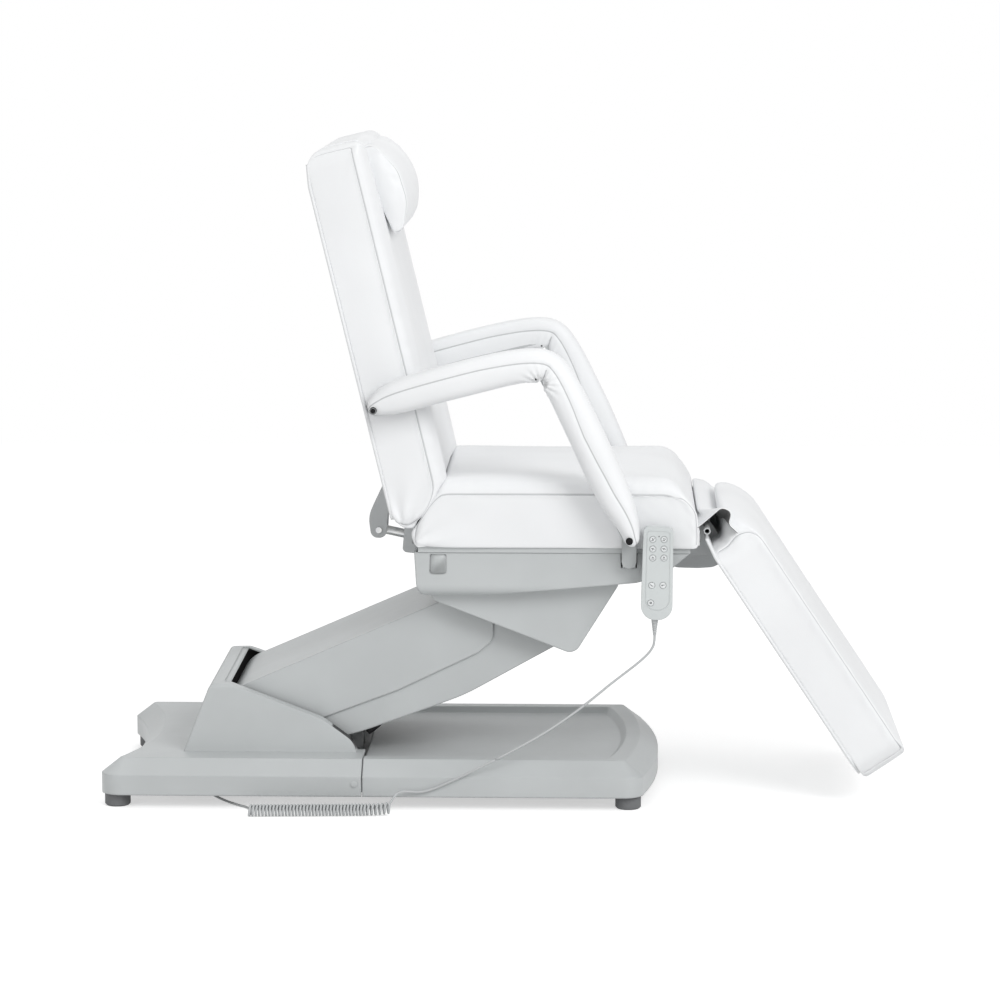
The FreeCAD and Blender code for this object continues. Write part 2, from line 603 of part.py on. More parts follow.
hinge_pin = rod_y(BACK_HINGE, PIN_RADIUS, ear_y[0] - 1, ear_y[1] + 1)
nodes["seat_pivot_pins"] = Part.makeCompound([
    rod_y(LIFT_TOP, SHAFT_RADIUS, *shaft),
    rod_y(LINK_TOP, PIN_RADIUS, *link_pin),
    rod_y(BACK_FAR, EYE_PIN, *eye_pin),
    rod_y(LEG_FAR, EYE_PIN, *eye_pin),
] + both_sides(hinge_pin))
hinge_tube = rod_y(LEG_HINGE, LEG_TUBE_RADIUS, -CUSHION_HALF, CUSHION_HALF)
nodes["leg_hinge_tube"] = hinge_tube.cut(rod_y(LEG_HINGE, LEG_TUBE_RADIUS - 2, -CUSHION_HALF, CUSHION_HALF))

# Under-seat housing: a boat-shaped band with a chin whose cheeks hide the arm's upper pivot.
band_top = SEAT[1] - BOARD - SIT
front_x = SEAT_SPAN - 31
band = moved(SEAT, [
    (13, 20, 0), (18, -HOUSING_DEPTH + 11, 0), (26, -HOUSING_DEPTH - BOARD, 14),
    (141, -HOUSING_DEPTH - BOARD, 200), (front_x - 97, -HOUSING_DEPTH + 16.6, 60),
    (front_x - 38, -HOUSING_DEPTH + 41, 40), (front_x, -BOARD, 0), (front_x + 38, 20, 0),
])
chin = moved(LIFT_TOP, [
    (-245, 85, 0), (-229, 54, 10), (39, -50, 22), (123, 85, 20), (123, 107, 0), (-245, 107, 0)])
chin_open = moved(LIFT_TOP, [
    (-243, 107, 0), (-243, -153, 0), (-30, -153, 0), (119.6, 87, 0), (119.6, 107, 0)])


def housing_body(inset):
    half = HOUSING_HALF - inset
    low = SEAT[1] - HOUSING_DEPTH - BOARD - 1 + inset
    high = SEAT[1] + 21
    section = [(-half + 8, low, 26), (half - 8, low, 26), (half, high, 0), (-half, high, 0)]
    whole = crosswise(section, SEAT[0] - 20, SEAT[0] + SEAT_SPAN + 40)
    return whole.common(inset_slab(band, inset, BASE_WIDTH))


housing = housing_body(0).fuse(slab(chin, -CHIN_HALF, CHIN_HALF)).cut(housing_body(WALL))
housing = housing.cut(slab(chin_open, -CHIN_HALF + WALL, CHIN_HALF - WALL))
lid = box((SEAT[0] - 50, LEG_HINGE[0] + 50), whole_y, (band_top, SEAT[1] + 60))
lever_half = 46
rear_x = (SEAT[0] - 10, SEAT[0] + 40)
leg_ear_room = (leg_ear_y[0] - 3, leg_ear_y[1] + 3)
strut_x = (F_BOLT[0] - 15, F_BOLT[0] + 15)
slots = [
    box(rear_x, (-lever_half, lever_half), (band_top - 62, SEAT[1])),
    box((LIFT_TOP[0] + 95, LEG_HINGE[0]), (-lever_half, lever_half), (band_top - 90, SEAT[1])),
    box((SEAT[0] + 45, SEAT[0] + 75), (-HOUSING_HALF, -HOUSING_HALF + 12), (band_top - 40, band_top - 4)),
]
slots += both_sides(box(rear_x, (ear_y[0] - 3, ear_y[1] + 3), (band_top - 40, SEAT[1])))
slots += both_sides(box((LEG_HINGE[0] - 75, LEG_HINGE[0]), leg_ear_room, (band_top - 40, SEAT[1])))
slots += both_sides(box(strut_x, (CHIN_HALF, BASE_WIDTH), (rail_top - 28, SEAT[1])))
nodes["seat_housing"] = housing.cut([lid] + slots)

# Seat board, notched for the back actuator.
board_x = (SEAT[0] + 22, SEAT[0] + front_x)
board = box(board_x, (-HOUSING_HALF, HOUSING_HALF), (SEAT[1] - BOARD, SEAT[1] - SIT))
notch = box((board_x[0] - 1, board_x[0] + 90), (-lever_half, lever_half), (SEAT[1] - BOARD - 1, SEAT[1]))
nodes["seat_board"] = board.cut(notch)


# Cushions: a side outline, a cross section with two bolsters and a plan whose long sides draw in.
def cushion(side, x, low, seam, crown, corner):
    half = CUSHION_HALF
    wide = half + CUSHION_SWELL
    dish = seam + crown / 5
    section = [
        (-half, low, 7), (half, low, 7), (half, seam, 12), (half - 32, seam + crown, 30),
        (half - 84, dish, 50), (-half + 84, dish, 50), (-half + 32, seam + crown, 30), (-half, seam, 12),
    ]
    middle = (x[0] + x[1]) / 2
    bow = corner * (1 - math.sqrt(0.5))

    def edge(sy):
        points = [(x[0] + corner, wide), (middle, half - CUSHION_PULL), (x[1] - corner, wide)]
        points = [V(px, sy * py, low) for px, py in points]
        return Part.Arc(*(points if sy < 0 else points[::-1])).toShape()

    def turn(sx, sy):
        end = x[0] if sx < 0 else x[1]
        points = [(corner, wide), (bow, wide - bow), (0, wide - corner)]
        points = [V(end - sx * px, sy * py, low) for px, py in points]
        return Part.Arc(*(points if sx * sy < 0 else points[::-1])).toShape()

    def end_line(end, sx):
        reach = sx * (wide - corner)
        return Part.LineSegment(V(end, -reach, low), V(end, reach, low)).toShape()

    loop = [edge(-1), turn(1, -1), end_line(x[1], 1), turn(1, 1)]
    loop += [edge(1), turn(-1, 1), end_line(x[0], -1), turn(-1, -1)]
    plan = Part.Face(Part.Wire(loop)).extrude(V(0, 0, seam + crown - low + 1))
    whole = slab(side, -wide - 1, wide + 1)
    return whole.common(crosswise(section, x[0] - 1, x[1] + 1)).common(plan)


crown_top = SEAT_SEAM + SEAT_CROWN
seat_end = SEAT_SPAN - 13
seat_side = moved(SEAT, [
    (18, 0, 14), (11, 26, 8), (72, crown_top, 14), (seat_end - 81, crown_top, 90),
    (seat_end - 9, crown_top - 54, 40), (seat_end, 8, 8), (seat_end - 8, 0, 4),
])
nodes["seat_cushion"] = cushion(
    seat_side, (SEAT[0] + 8, SEAT[0] + seat_end), SEAT[1], SEAT[1] + SEAT_SEAM, SEAT_CROWN, 18)

# Armrest bolts with round caps, on the seat.
arm_inner = CUSHION_HALF + ARMREST_GAP
arm_outer = arm_inner + ARMREST_WIDTH
bolt = rod_y(F_BOLT, ARM_BOLT, lug_y[0], arm_outer + 0.5)
bolt = bolt.fuse(rod_y(F_BOLT, ARM_BOLT + 1.5, arm_outer - 2, arm_outer + 2))
nodes["armrest_bolts"] = Part.makeCompound(both_sides(bolt))

# Backrest, flat behind its hinge: x runs to the head, z is the height over the hinge line.
mitre = math.tan(math.radians(BACK_TILT / 2))
back_top = BACK_SEAM + BACK_CROWN
back_side = [
    (-3, 0, 3), (-20, -BACK_REAR, 8), (-BACK_LENGTH, -BACK_REAR, 26), (-BACK_LENGTH, BACK_SEAM + 4, 18),
    (-BACK_LENGTH + 14, back_top, 14), (-4 - back_top * mitre, back_top, 12),
]
back_pad = cushion(back_side, (-BACK_LENGTH, -2), -BACK_REAR, BACK_SEAM, BACK_CROWN, 14)
pocket_x = (-BACK_LENGTH + 50, -42)
pocket = box(pocket_x, (-190, 190), (-BACK_REAR - 1, 5))
knuckle_room = both_sides(rod_y((0, 0), 14, ear_y[0] - 3, ear_y[1] + 3))
knuckle_room += both_sides(box((-76, 0), (ear_y[0] - 3, ear_y[1] + 3), (-BACK_REAR - 1, 12)))
back_pad = back_pad.cut([pocket] + knuckle_room)


def backing(low, high, x_low, x_high):
    """Board behind a cushion, with its outer edges eased."""
    half = CUSHION_HALF - 4
    return crosswise([(-half, low, 2), (half, low, 2), (half, high, 0), (-half, high, 0)], x_low, x_high)


panel = backing(-BACK_REAR - BACK_BOARD, -BACK_REAR - SIT, -BACK_LENGTH + 12, -24)
lever_y = (20.0, 20.0 + PLATE)
lever_slots = both_sides(box((-130, -20), (lever_y[0] - 1, lever_y[1] + 1), (-60, 0)))
hinge_slots = both_sides(box((-60, 0), (KNUCKLE_Y - 1, KNUCKLE_Y + KNUCKLE + 1), (-60, 0)))
panel = panel.cut(lever_slots + hinge_slots)

# Back frame: a tube ladder in the pocket, hinge knuckles, curved lever plates and side lugs.
ladder_z = (-BACK_REAR + SIT, 4)
ladder = both_sides(box((pocket_x[0] + 10, -44), (KNUCKLE_Y, KNUCKLE_Y + KNUCKLE), ladder_z))
for x in (pocket_x[0] + 12, -360, -100):
    ladder.append(box((x, x + 24), (-KNUCKLE_Y - 1, KNUCKLE_Y + 1), ladder_z))
ladder += both_sides(bar((-60, -5), (0, 0), 10, KNUCKLE_Y, KNUCKLE_Y + KNUCKLE))
B_FLAT = spin((B_BOLT[0] - BACK_HINGE[0], B_BOLT[1] - BACK_HINGE[1]), BACK_TILT)
lug_plate = rod_y(B_FLAT, ARM_BOLT + ARM_BACK_SLACK + 7, *lug_y)
lug_low = -BACK_REAR - BACK_BOARD - 4
lug_x = (B_FLAT[0] - 14, B_FLAT[0] + 14)
bridge_y = (KNUCKLE_Y - 48, KNUCKLE_Y + 4)
lug_stem = box(lug_x, lug_y, (lug_low, B_FLAT[1]))
lug_strap = box(lug_x, (bridge_y[0], lug_y[1]), (lug_low, lug_low + 4 - SIT))
lug_bridge = box(lug_x, bridge_y, (lug_low, ladder_z[0] + 2))
ladder += both_sides(lug_plate) + both_sides(lug_stem) + both_sides(lug_strap) + both_sides(lug_bridge)
arm_holes = both_sides(rod_y(B_FLAT, ARM_BOLT + ARM_BACK_SLACK, lug_y[0] - 1, lug_y[1] + 1))
lever_outline = moved(BACK_LEVER, [
    (-14.5, -15.5, 14), (15, -15.5, 14), (17.5, 33.5, 30), (38.5, 63.5, 10),
    (48, 112, 8), (34, 126, 10), (10.5, 93.5, 60), (-20.5, 28.5, 60)])
levers = both_sides(slab(lever_outline, *lever_y))
levers = [turned(piece, (0, 0), BACK_TILT) for piece in levers]
pin_flat = spin(BACK_LEVER, BACK_TILT)
hinge_bore = rod_y((0, 0), PIN_RADIUS + RUN, -CUSHION_HALF, CUSHION_HALF)
lever_bore = rod_y(pin_flat, PIN_RADIUS + RUN, -lever_y[1], lever_y[1])
back_frame = joined(ladder + levers).cut(arm_holes + [hinge_bore, lever_bore])
bridge_room = box((lug_x[0] - 1, lug_x[1] + 1), (bridge_y[0] - 1, bridge_y[1] + 1), (-60, 0))
panel = panel.cut(both_sides(bridge_room))
back_pin = rod_y(pin_flat, PIN_RADIUS, -lever_y[1] - 3, lever_y[1] + 3)


def upright(shape):
    return shift(turned(shape, (0, 0), -BACK_TILT), BACK_HINGE)


nodes["back_cushion"] = upright(back_pad)
nodes["back_board"] = upright(panel)
nodes["back_frame"] = upright(back_frame)
nodes["back_lever_pin"] = upright(back_pin)

# Headrest pillow: a D outline with rounded ends, and a strap over the top of the backrest.
pillow_low = back_top + SIT
pillow_side = [
    (-PILLOW_TOP, pillow_low, 3), (-PILLOW_BOTTOM, pillow_low + 9, 12),
    (-PILLOW_BOTTOM - 6, pillow_low + PILLOW_DEPTH - 16, 28),
    (-PILLOW_BOTTOM - 54, pillow_low + PILLOW_DEPTH + 6, 70),
    (-PILLOW_TOP + 62, pillow_low + PILLOW_DEPTH + 4, 70), (-PILLOW_TOP + 7, pillow_low + 28, 24),
    (-PILLOW_TOP, pillow_low + 12, 6),
]
pillow_section = [
    (-PILLOW_HALF, pillow_low - 2, 10), (PILLOW_HALF, pillow_low - 2, 10),
    (PILLOW_HALF - 4, pillow_low + PILLOW_DEPTH - 8, 30), (0, pillow_low + PILLOW_DEPTH + 8, 900),
    (-PILLOW_HALF + 4, pillow_low + PILLOW_DEPTH - 8, 30),
]
pillow = slab(pillow_side, -PILLOW_HALF, PILLOW_HALF).common(crosswise(pillow_section, -BACK_LENGTH, 0))
strap_rear = -BACK_REAR - BACK_BOARD - SIT
strap_top = -BACK_LENGTH - SIT
strap_front = pillow_low + 7
strap_outline = [
    (strap_top - STRAP, strap_rear - STRAP, 8), (strap_top - STRAP, strap_front, 5),
    (-PILLOW_TOP - SIT, strap_front, 0), (-PILLOW_TOP - SIT, strap_front - STRAP, 0),
    (strap_top, strap_front - STRAP, 2), (strap_top, strap_rear, 5),
    (strap_top + STRAP_TAIL, strap_rear, 0), (strap_top + STRAP_TAIL, strap_rear - STRAP, 0),
]
nodes["headrest_pillow"] = upright(pillow)
nodes["headrest_strap"] = upright(slab(strap_outline, -STRAP_HALF, STRAP_HALF))

# Legrest, flat in front of its hinge.
leg_top = LEG_SEAM + LEG_CROWN
leg_side = [
    (LEG_START, -LEG_REAR, 6), (LEG_END, -LEG_REAR, 8), (LEG_END, leg_top, 16), (LEG_START + 2, leg_top, 48)]
leg_pad = cushion(leg_side, (LEG_START, LEG_END), -LEG_REAR, LEG_SEAM, LEG_CROWN, 30)
leg_pocket_x = (70, LEG_END - 50)
leg_pocket = box(leg_pocket_x, (-190, 190), (-LEG_REAR - 1, 9))
leg_knuckle_y = (leg_ear_y[1] + 1.5, leg_ear_y[1] + 1.5 + PLATE)
mouth_y = (leg_ear_y[0] - 2, leg_knuckle_y[1] + 2)
leg_mouth = both_sides(box((LEG_START - 2, 72), mouth_y, (-LEG_REAR - 1, 13)))
leg_pad = leg_pad.cut([leg_pocket] + leg_mouth)
leg_panel = backing(-LEG_REAR - LEG_BOARD, -LEG_REAR - SIT, LEG_START + 14, LEG_END - 8)
leg_panel = leg_panel.cut(both_sides(box((0, 132), (lever_y[0] - 1, lever_y[1] + 1), (-60, 0))))
leg_panel = leg_panel.cut(both_sides(box((0, 90), mouth_y, (-60, 0))))
leg_ladder_z = (-LEG_REAR + SIT, 8)
leg_ladder = both_sides(box((74, leg_pocket_x[1] - 10), leg_knuckle_y, leg_ladder_z))
for x in (88, 300, leg_pocket_x[1] - 36):
    leg_ladder.append(box((x, x + 24), (-leg_knuckle_y[0] - 1, leg_knuckle_y[0] + 1), leg_ladder_z))
leg_ladder += both_sides(bar((0, 0), (90, -1), 9, *leg_knuckle_y))
leg_lever_outline = moved(LEG_LEVER, [
    (-14, -14.5, 13), (12, -21, 40), (50, -22, 60), (82, -20, 30), (120, 4, 8),
    (108, 30, 8), (66, 12, 20), (32, 5, 30), (13, 13, 12), (-14, 14, 13)])
leg_levers = [turned(piece, (0, 0), LEG_TILT) for piece in both_sides(slab(leg_lever_outline, *lever_y))]
leg_pin_flat = spin(LEG_LEVER, LEG_TILT)
tube_bore = rod_y((0, 0), LEG_TUBE_RADIUS + RUN, -CUSHION_HALF, CUSHION_HALF)
leg_lever_bore = rod_y(leg_pin_flat, PIN_RADIUS + RUN, -lever_y[1], lever_y[1])
leg_frame = joined(leg_ladder + leg_levers).cut([tube_bore, leg_lever_bore])


def lowered(shape):
    return shift(turned(shape, (0, 0), -LEG_TILT), LEG_HINGE)


nodes["leg_cushion"] = lowered(leg_pad)
nodes["leg_board"] = lowered(leg_panel)
nodes["leg_frame"] = lowered(leg_frame)
nodes["leg_lever_pin"] = lowered(rod_y(leg_pin_flat, PIN_RADIUS, -lever_y[1] - 3, lever_y[1] + 3))


# Vinyl flap: a thin arch from the seat front over the hinge to the top of the legrest.
flap_y = -CUSHION_HALF + FLAP_INSET


def arch(lift):
    offsets = [(-16.5 - lift, 14), (24, 44 + lift), (61.3 + lift, -4.4)]
    return [V(LEG_HINGE[0] + x, flap_y, LEG_HINGE[1] + z) for x, z in offsets]


under_arch = arch(0)
over_arch = arch(FLAP)
flap_edges = [
    Part.Arc(*under_arch).toShape(),
    Part.LineSegment(under_arch[2], over_arch[2]).toShape(),
    Part.Arc(*over_arch[::-1]).toShape(),
    Part.LineSegment(over_arch[0], under_arch[0]).toShape(),
]
nodes["hinge_flap"] = Part.Face(Part.Wire(flap_edges)).extrude(V(0, -2 * flap_y, 0))

# Armrests: a top pad with a round end at the bend, and a front pad hollowed to take it.
top_outline = moved(B_BOLT, [(-1.7, -8.8, 7), (26.3, -7.8, 30), (73.3, 2.2, 60)])
top_outline += moved(E_BEND, [(-21, -26, 6), (0, 2, 10), (-10, 35, 20), (-105, 22, 120), (-207, -4.5, 60)])
top_outline += moved(B_BOLT, [(23.3, 52.7, 22), (-13.7, 6.2, 8)])
front_outline = moved(E_BEND, [(28, 27, 12), (64, -11, 40), (124, -128, 200)])
front_outline += moved(F_BOLT, [(2.7, 89.9, 120), (21, 28.9, 18), (17.7, -9.1, 14), (-12.3, -19.1, 14)])
front_outline += moved(F_BOLT, [(-24.3, 19.9, 20), (-63.3, 73.9, 200)])
front_outline += moved(E_BEND, [(37, -101, 120), (-2, -41, 8)])
bar_depth = (arm_inner + 0.5, arm_inner + 0.5 + ARM_BAR)
front_depth = (bar_depth[1] + 0.5, bar_depth[1] + 0.5 + ARM_BAR)
top_block = slab(top_outline, arm_inner, arm_outer).fuse(rod_y(E_BEND, ARM_ROUND, arm_inner, arm_outer))
front_block = slab(front_outline, arm_inner, arm_outer)
front_block = front_block.cut(rod_y(E_BEND, ARM_ROUND + 0.6, arm_inner - 1, arm_outer + 1))
front_block = front_block.cut(shift(slab(top_outline, arm_inner - 1, arm_outer + 1), (0, -0.6)))
top_bar = bar(B_BOLT, E_BEND, ARM_BAR_RADIUS, *bar_depth)
front_bar = bar(E_BEND, F_BOLT, ARM_BAR_RADIUS, *front_depth)
top_slot = bar(B_BOLT, E_BEND, ARM_BAR_RADIUS + SIT, arm_inner - 1, bar_depth[1] + SIT)
front_slot = bar(E_BEND, F_BOLT, ARM_BAR_RADIUS + SIT, arm_inner - 1, front_depth[1] + SIT)
bend_room = rod_y(E_BEND, ARM_ROUND + 30, bar_depth[1] + 0.2, front_depth[1] + 0.4)
bolt_room = rod_y(F_BOLT, ARM_BOLT + 2.5, arm_inner - 1, arm_outer + 1)
stud_room = rod_y(B_BOLT, ARM_BOLT + 1, arm_inner - 1, arm_outer + 1)
top_pad = top_block.cut([top_slot, bend_room, stud_room])
front_pad = front_block.cut([front_slot, bolt_room])
stud = rod_y(B_BOLT, ARM_BOLT, lug_y[0] + 0.5, arm_outer + 1)
stud = stud.fuse(rod_y(B_BOLT, ARM_BOLT + 0.5, arm_outer - 1, arm_outer + 2))
bend_stud = rod_y(E_BEND, PIN_RADIUS, bar_depth[0] + 1, front_depth[1])
top_frame = joined([top_bar, stud, bend_stud])
front_bores = [rod_y(E_BEND, PIN_RADIUS + RUN, *whole_y), rod_y(F_BOLT, ARM_BOLT + RUN, *whole_y)]
front_frame = front_bar.cut(front_bores)
armrest = {"top_pad": top_pad, "front_pad": front_pad, "top_frame": top_frame, "front_frame": front_frame}
for name, piece in armrest.items():
    far_piece, near_piece = both_sides(piece)
    nodes["armrest_%s_far" % name] = far_piece
    nodes["armrest_%s_near" % name] = near_piece

# Handset: two shells, nine keys, and a tongue behind that hangs on the seat's hook plate.
HANDSET = plus(SEAT, *HANDSET_PLACE)
hand_front = -arm_outer + 31
hand_back = hand_front + HANDSET_THICK
hand_part = hand_front + HANDSET_THICK / 2
hand_outline = moved(HANDSET, [
    (-28, 88, 9), (28, 85, 9), (27, HANDSET_LOW, 27), (-33, HANDSET_LOW, 27)])
hook_x = (HANDSET[0] - 16, HANDSET[0] + 16)
plate_y = (hand_back + 1, hand_back + 3)
hook_top = HANDSET[1] + 76
hollow_face = rounded_face(hand_outline, lambda a, b: V(a, hand_front + HANDSET_WALL, b))
hand_hollow = hollow_face.makeOffset2D(-HANDSET_WALL).extrude(V(0, HANDSET_THICK - 2 * HANDSET_WALL, 0))
tongue_x = (hook_x[0] + 4, hook_x[1] - 4)
bridge = box(tongue_x, (hand_back - 1, plate_y[1] + 3.5), (hook_top + SIT, hook_top + 5))
tongue = box(tongue_x, (plate_y[1] + 1, plate_y[1] + 3.5), (hook_top - 24, hook_top + 5))
relief_top = V(HANDSET[0] - 6, hand_part, HANDSET[1] + HANDSET_LOW)
cord_bore = Part.makeCylinder(CORD / 2, 3 * CORD, relief_top - V(0, 0, CORD), V(0, 0, 1))
back_shell = slab(hand_outline, hand_part + SIT / 3, hand_back).cut(hand_hollow)
nodes["handset_back"] = joined([back_shell, bridge, tongue]).cut(cord_bore)
key_sides = (-KEY_PITCH / 2, KEY_PITCH / 2)
key_places = [(x, z) for z in KEY_ROWS for x in key_sides]
key_places += [plus(MEMORY_KEYS, x, 0) for x in key_sides] + [STOP_KEY]
key_depth = (hand_front - 1, hand_front + HANDSET_WALL + 1)
key_holes = [rod_y(plus(HANDSET, x, z), KEY_RADIUS + KEY_GAP, *key_depth) for x, z in key_places]
front_shell = slab(hand_outline, hand_front, hand_part).cut(hand_hollow)
nodes["handset_front"] = front_shell.cut(key_holes + [cord_bore])

# Keys: round caps on a square plate behind the shell that keeps them in.
key_names = ["back_up", "back_down", "leg_up", "leg_down", "lift_up", "lift_down"]
key_names += ["memory_one", "memory_two", "stop"]
flange_y = hand_front + HANDSET_WALL + RUN
flange = KEY_RADIUS + 1.2
cap = rod_y((0, 0), KEY_RADIUS, hand_front - KEY_PROUD, flange_y + 0.5)
key = cap.fuse(box((-flange, flange), (flange_y, flange_y + 1), (-flange, flange)))
for name, (x, z) in zip(key_names, key_places):
    nodes["key_" + name] = shift(key, plus(HANDSET, x, z))

hook_low = rail_top - 40
hook_pieces = [
    box(hook_x, plate_y, (hook_low, hook_top)),
    box(hook_x, (plate_y[0], -HOUSING_HALF - SIT), (hook_low, hook_low + 3)),
    box(hook_x, (-HOUSING_HALF - 2.5, -HOUSING_HALF - SIT), (hook_low, hook_low + 26)),
]
nodes["handset_hook"] = joined(hook_pieces)

relief = Part.makeCone(5.5, 3.4, RELIEF, relief_top, V(0, 0, -1))
nodes["cord_strain_relief"] = relief.cut(cord_bore)


# Cords: straight runs joined by the largest tangent arcs, and a curly stretch of biarcs.
def arc_between(start, control, end):
    """Arc tangent to start-control and control-end, two equal tangents."""
    chord_middle = (start + end) * 0.5
    rise = control - chord_middle
    half = (end - start).Length / 2
    swell = half * math.tan(math.atan2(rise.Length, half) / 2)
    return Part.Arc(start, chord_middle + rise.normalize() * swell, end).toShape()


def cord_path(points, name):
    edges = []
    radii = []
    last = points[0]
    for i in range(1, len(points) - 1):
        before = points[i] - points[i - 1]
        after = points[i + 1] - points[i]
        reach = 0.45 * min(before.Length, after.Length)
        turn = before.getAngle(after)
        radii.append(reach / math.tan(turn / 2))
        start = points[i] - before.normalize() * reach
        end = points[i] + after.normalize() * reach
        edges.append(Part.LineSegment(last, start).toShape())
        edges.append(arc_between(start, points[i], end))
        last = end
    edges.append(Part.LineSegment(last, points[-1]).toShape())
    print(name, "least radius %.0f mm" % min(radii), [round(r) for r in radii])
    return Part.Wire(edges)


def cord_tube(path, name):
    start = path.Edges[0].Vertexes[0].Point
    along = path.Edges[0].tangentAt(path.Edges[0].FirstParameter)
    across = along.cross(V(0, 0, 1)).normalize()
    above = across.cross(along)
    corners = []
    for i in range(CORD_SIDES + 1):
        angle = 2 * math.pi * i / CORD_SIDES
        corners.append(start + (across * math.cos(angle) + above * math.sin(angle)) * (CORD / 2))
    ring = Part.makePolygon(corners)
    tube = path.makePipeShell([ring], True, False)
    expected = Part.Face(ring).Area * path.Length
    print(name, "length %.0f mm, volume ratio %.4f" % (path.Length, tube.Volume / expected))
    return tube


floor_level = CORD / 2 + 0.2
gland = V(rear_tube[1] + GLAND, -RAIL_OFFSET + GLAND_INSET, GLAND_HEIGHT)
coil_left = gland.x + COIL_AHEAD
coil_y = -BASE_WIDTH / 2 - COIL_OUT


def curl_point(turn):
    """Point of the curly cord: it starts under the axis and winds along +X, looser at its end."""
    loose = max(turn - TIGHT_TURNS, 0)
    angle = 2 * math.pi * turn
    x = coil_left + min(turn, TIGHT_TURNS) * TIGHT_PITCH + loose * LOOSE_PITCH
    y = coil_y + COIL_SKEW * turn / (TIGHT_TURNS + LOOSE_TURNS)
    z = floor_level + CURL_RADIUS + 0.12 * loose ** 2
    return V(x, y - CURL_RADIUS * math.sin(angle), z - CURL_RADIUS * math.cos(angle))


def curl_tangent(turn):
    return (curl_point(turn + 1e-4) - curl_point(turn - 1e-4)).normalize()


def biarc(start, t0, end, t1):
    """Two tangent arcs between two points with given directions."""
    v = end - start
    t = t0 + t1
    side = 2 * (1 - t0.dot(t1))
    along = v.dot(t)
    d = (-along + math.sqrt(along * along + side * v.dot(v))) / side
    near = start + t0 * d
    far = end - t1 * d
    middle = (near + far) * 0.5
    return [arc_between(start, near, middle), arc_between(middle, far, end)]


last_turn = TIGHT_TURNS + LOOSE_TURNS - 0.5
half_turns = int(round(last_turn * 2))
coil_start = curl_point(0) - curl_tangent(0) * CORD
coil_end = curl_point(last_turn) + curl_tangent(last_turn) * CORD
coil_edges = [Part.LineSegment(coil_start, curl_point(0)).toShape()]
for i in range(half_turns):
    begin, finish = i / 2, (i + 1) / 2
    coil_edges += biarc(curl_point(begin), curl_tangent(begin), curl_point(finish), curl_tangent(finish))
coil_edges.append(Part.LineSegment(curl_point(last_turn), coil_end).toShape())
nodes["cord_coil"] = cord_tube(Part.Wire(coil_edges), "cord_coil")
samples = [curl_point(i / 24) for i in range(half_turns * 12)]
gaps = []
for i, point in enumerate(samples):
    gaps += [(other - point).Length - CORD for other in samples[i + 12:i + 40]]
print("curly cord least gap %.2f mm" % min(gaps))

lead = [coil_start, coil_start - curl_tangent(0) * 14]
lead += [V(gland.x + x, gland.y + y, floor_level) for x, y in ((160, -124), (148, -100), (128, -82))]
drops = [(102, -66, -38), (79, -50, -31), (60, -32, -22), (45, -17, -13), (30, -6, -5), (14, 0, 0), (0, 0, 0)]
lead += [gland + V(*drop) for drop in drops]
nodes["cord_floor_lead"] = cord_tube(cord_path(lead, "cord_floor_lead"), "cord_floor_lead")
nodes["cord_gland"] = Part.makeCone(6, 9, GLAND, gland, V(-1, 0, 0))

rise = [coil_end, coil_end + curl_tangent(last_turn) * 14]
for run, heading in ((16, 55), (18, 27)):
    way = math.radians(heading)
    rise.append(rise[-1] + V(math.cos(way), math.sin(way), 0.1) * run)
climb = [(325, 53, 36), (361, 52, 50), (409, 52, 73), (463, 53, 101)]
rise += [V(coil_left + x, coil_y + y, z) for x, y, z in climb]
relief_end = relief_top - V(0, 0, RELIEF)
span = relief_end - rise[-1]
shares = [(0.193, 0.083, 0.13), (0.38, 0.25, 0.273), (0.567, 0.417, 0.445), (0.733, 0.583, 0.622)]
hanging = [rise[-1] + V(span.x * x, span.y * y, span.z * z) for x, y, z in shares]
hanging.insert(0, rise[-1] + (hanging[0] - rise[-1]).normalize() * SIT)
hanging += [relief_end + V(*step) for step in ((-38, -3, -58), (-16, -1, -39), (-5.7, 0, -26.8), (0, 0, -14))]
hanging.append(relief_end)
nodes["cord_rise"] = cord_tube(cord_path(rise, "cord_rise"), "cord_rise")
nodes["cord_hanging"] = cord_tube(cord_path(hanging, "cord_hanging"), "cord_hanging")

# The finished chair is moved so that its own middle, without the cord, lies over the origin.
solids = [shape for name, shape in nodes.items() if not name.startswith("cord")]
extent = Part.makeCompound(solids).optimalBoundingBox()
centre = -(extent.XMin + extent.XMax) / 2
for name, shape in nodes.items():
    shape.translated(V(centre, 0, 0)).exportStep("parts/%s.step" % name)
print("middle shift %.3f" % centre, "size", extent.XLength, extent.YLength, extent.ZLength)
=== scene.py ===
import math

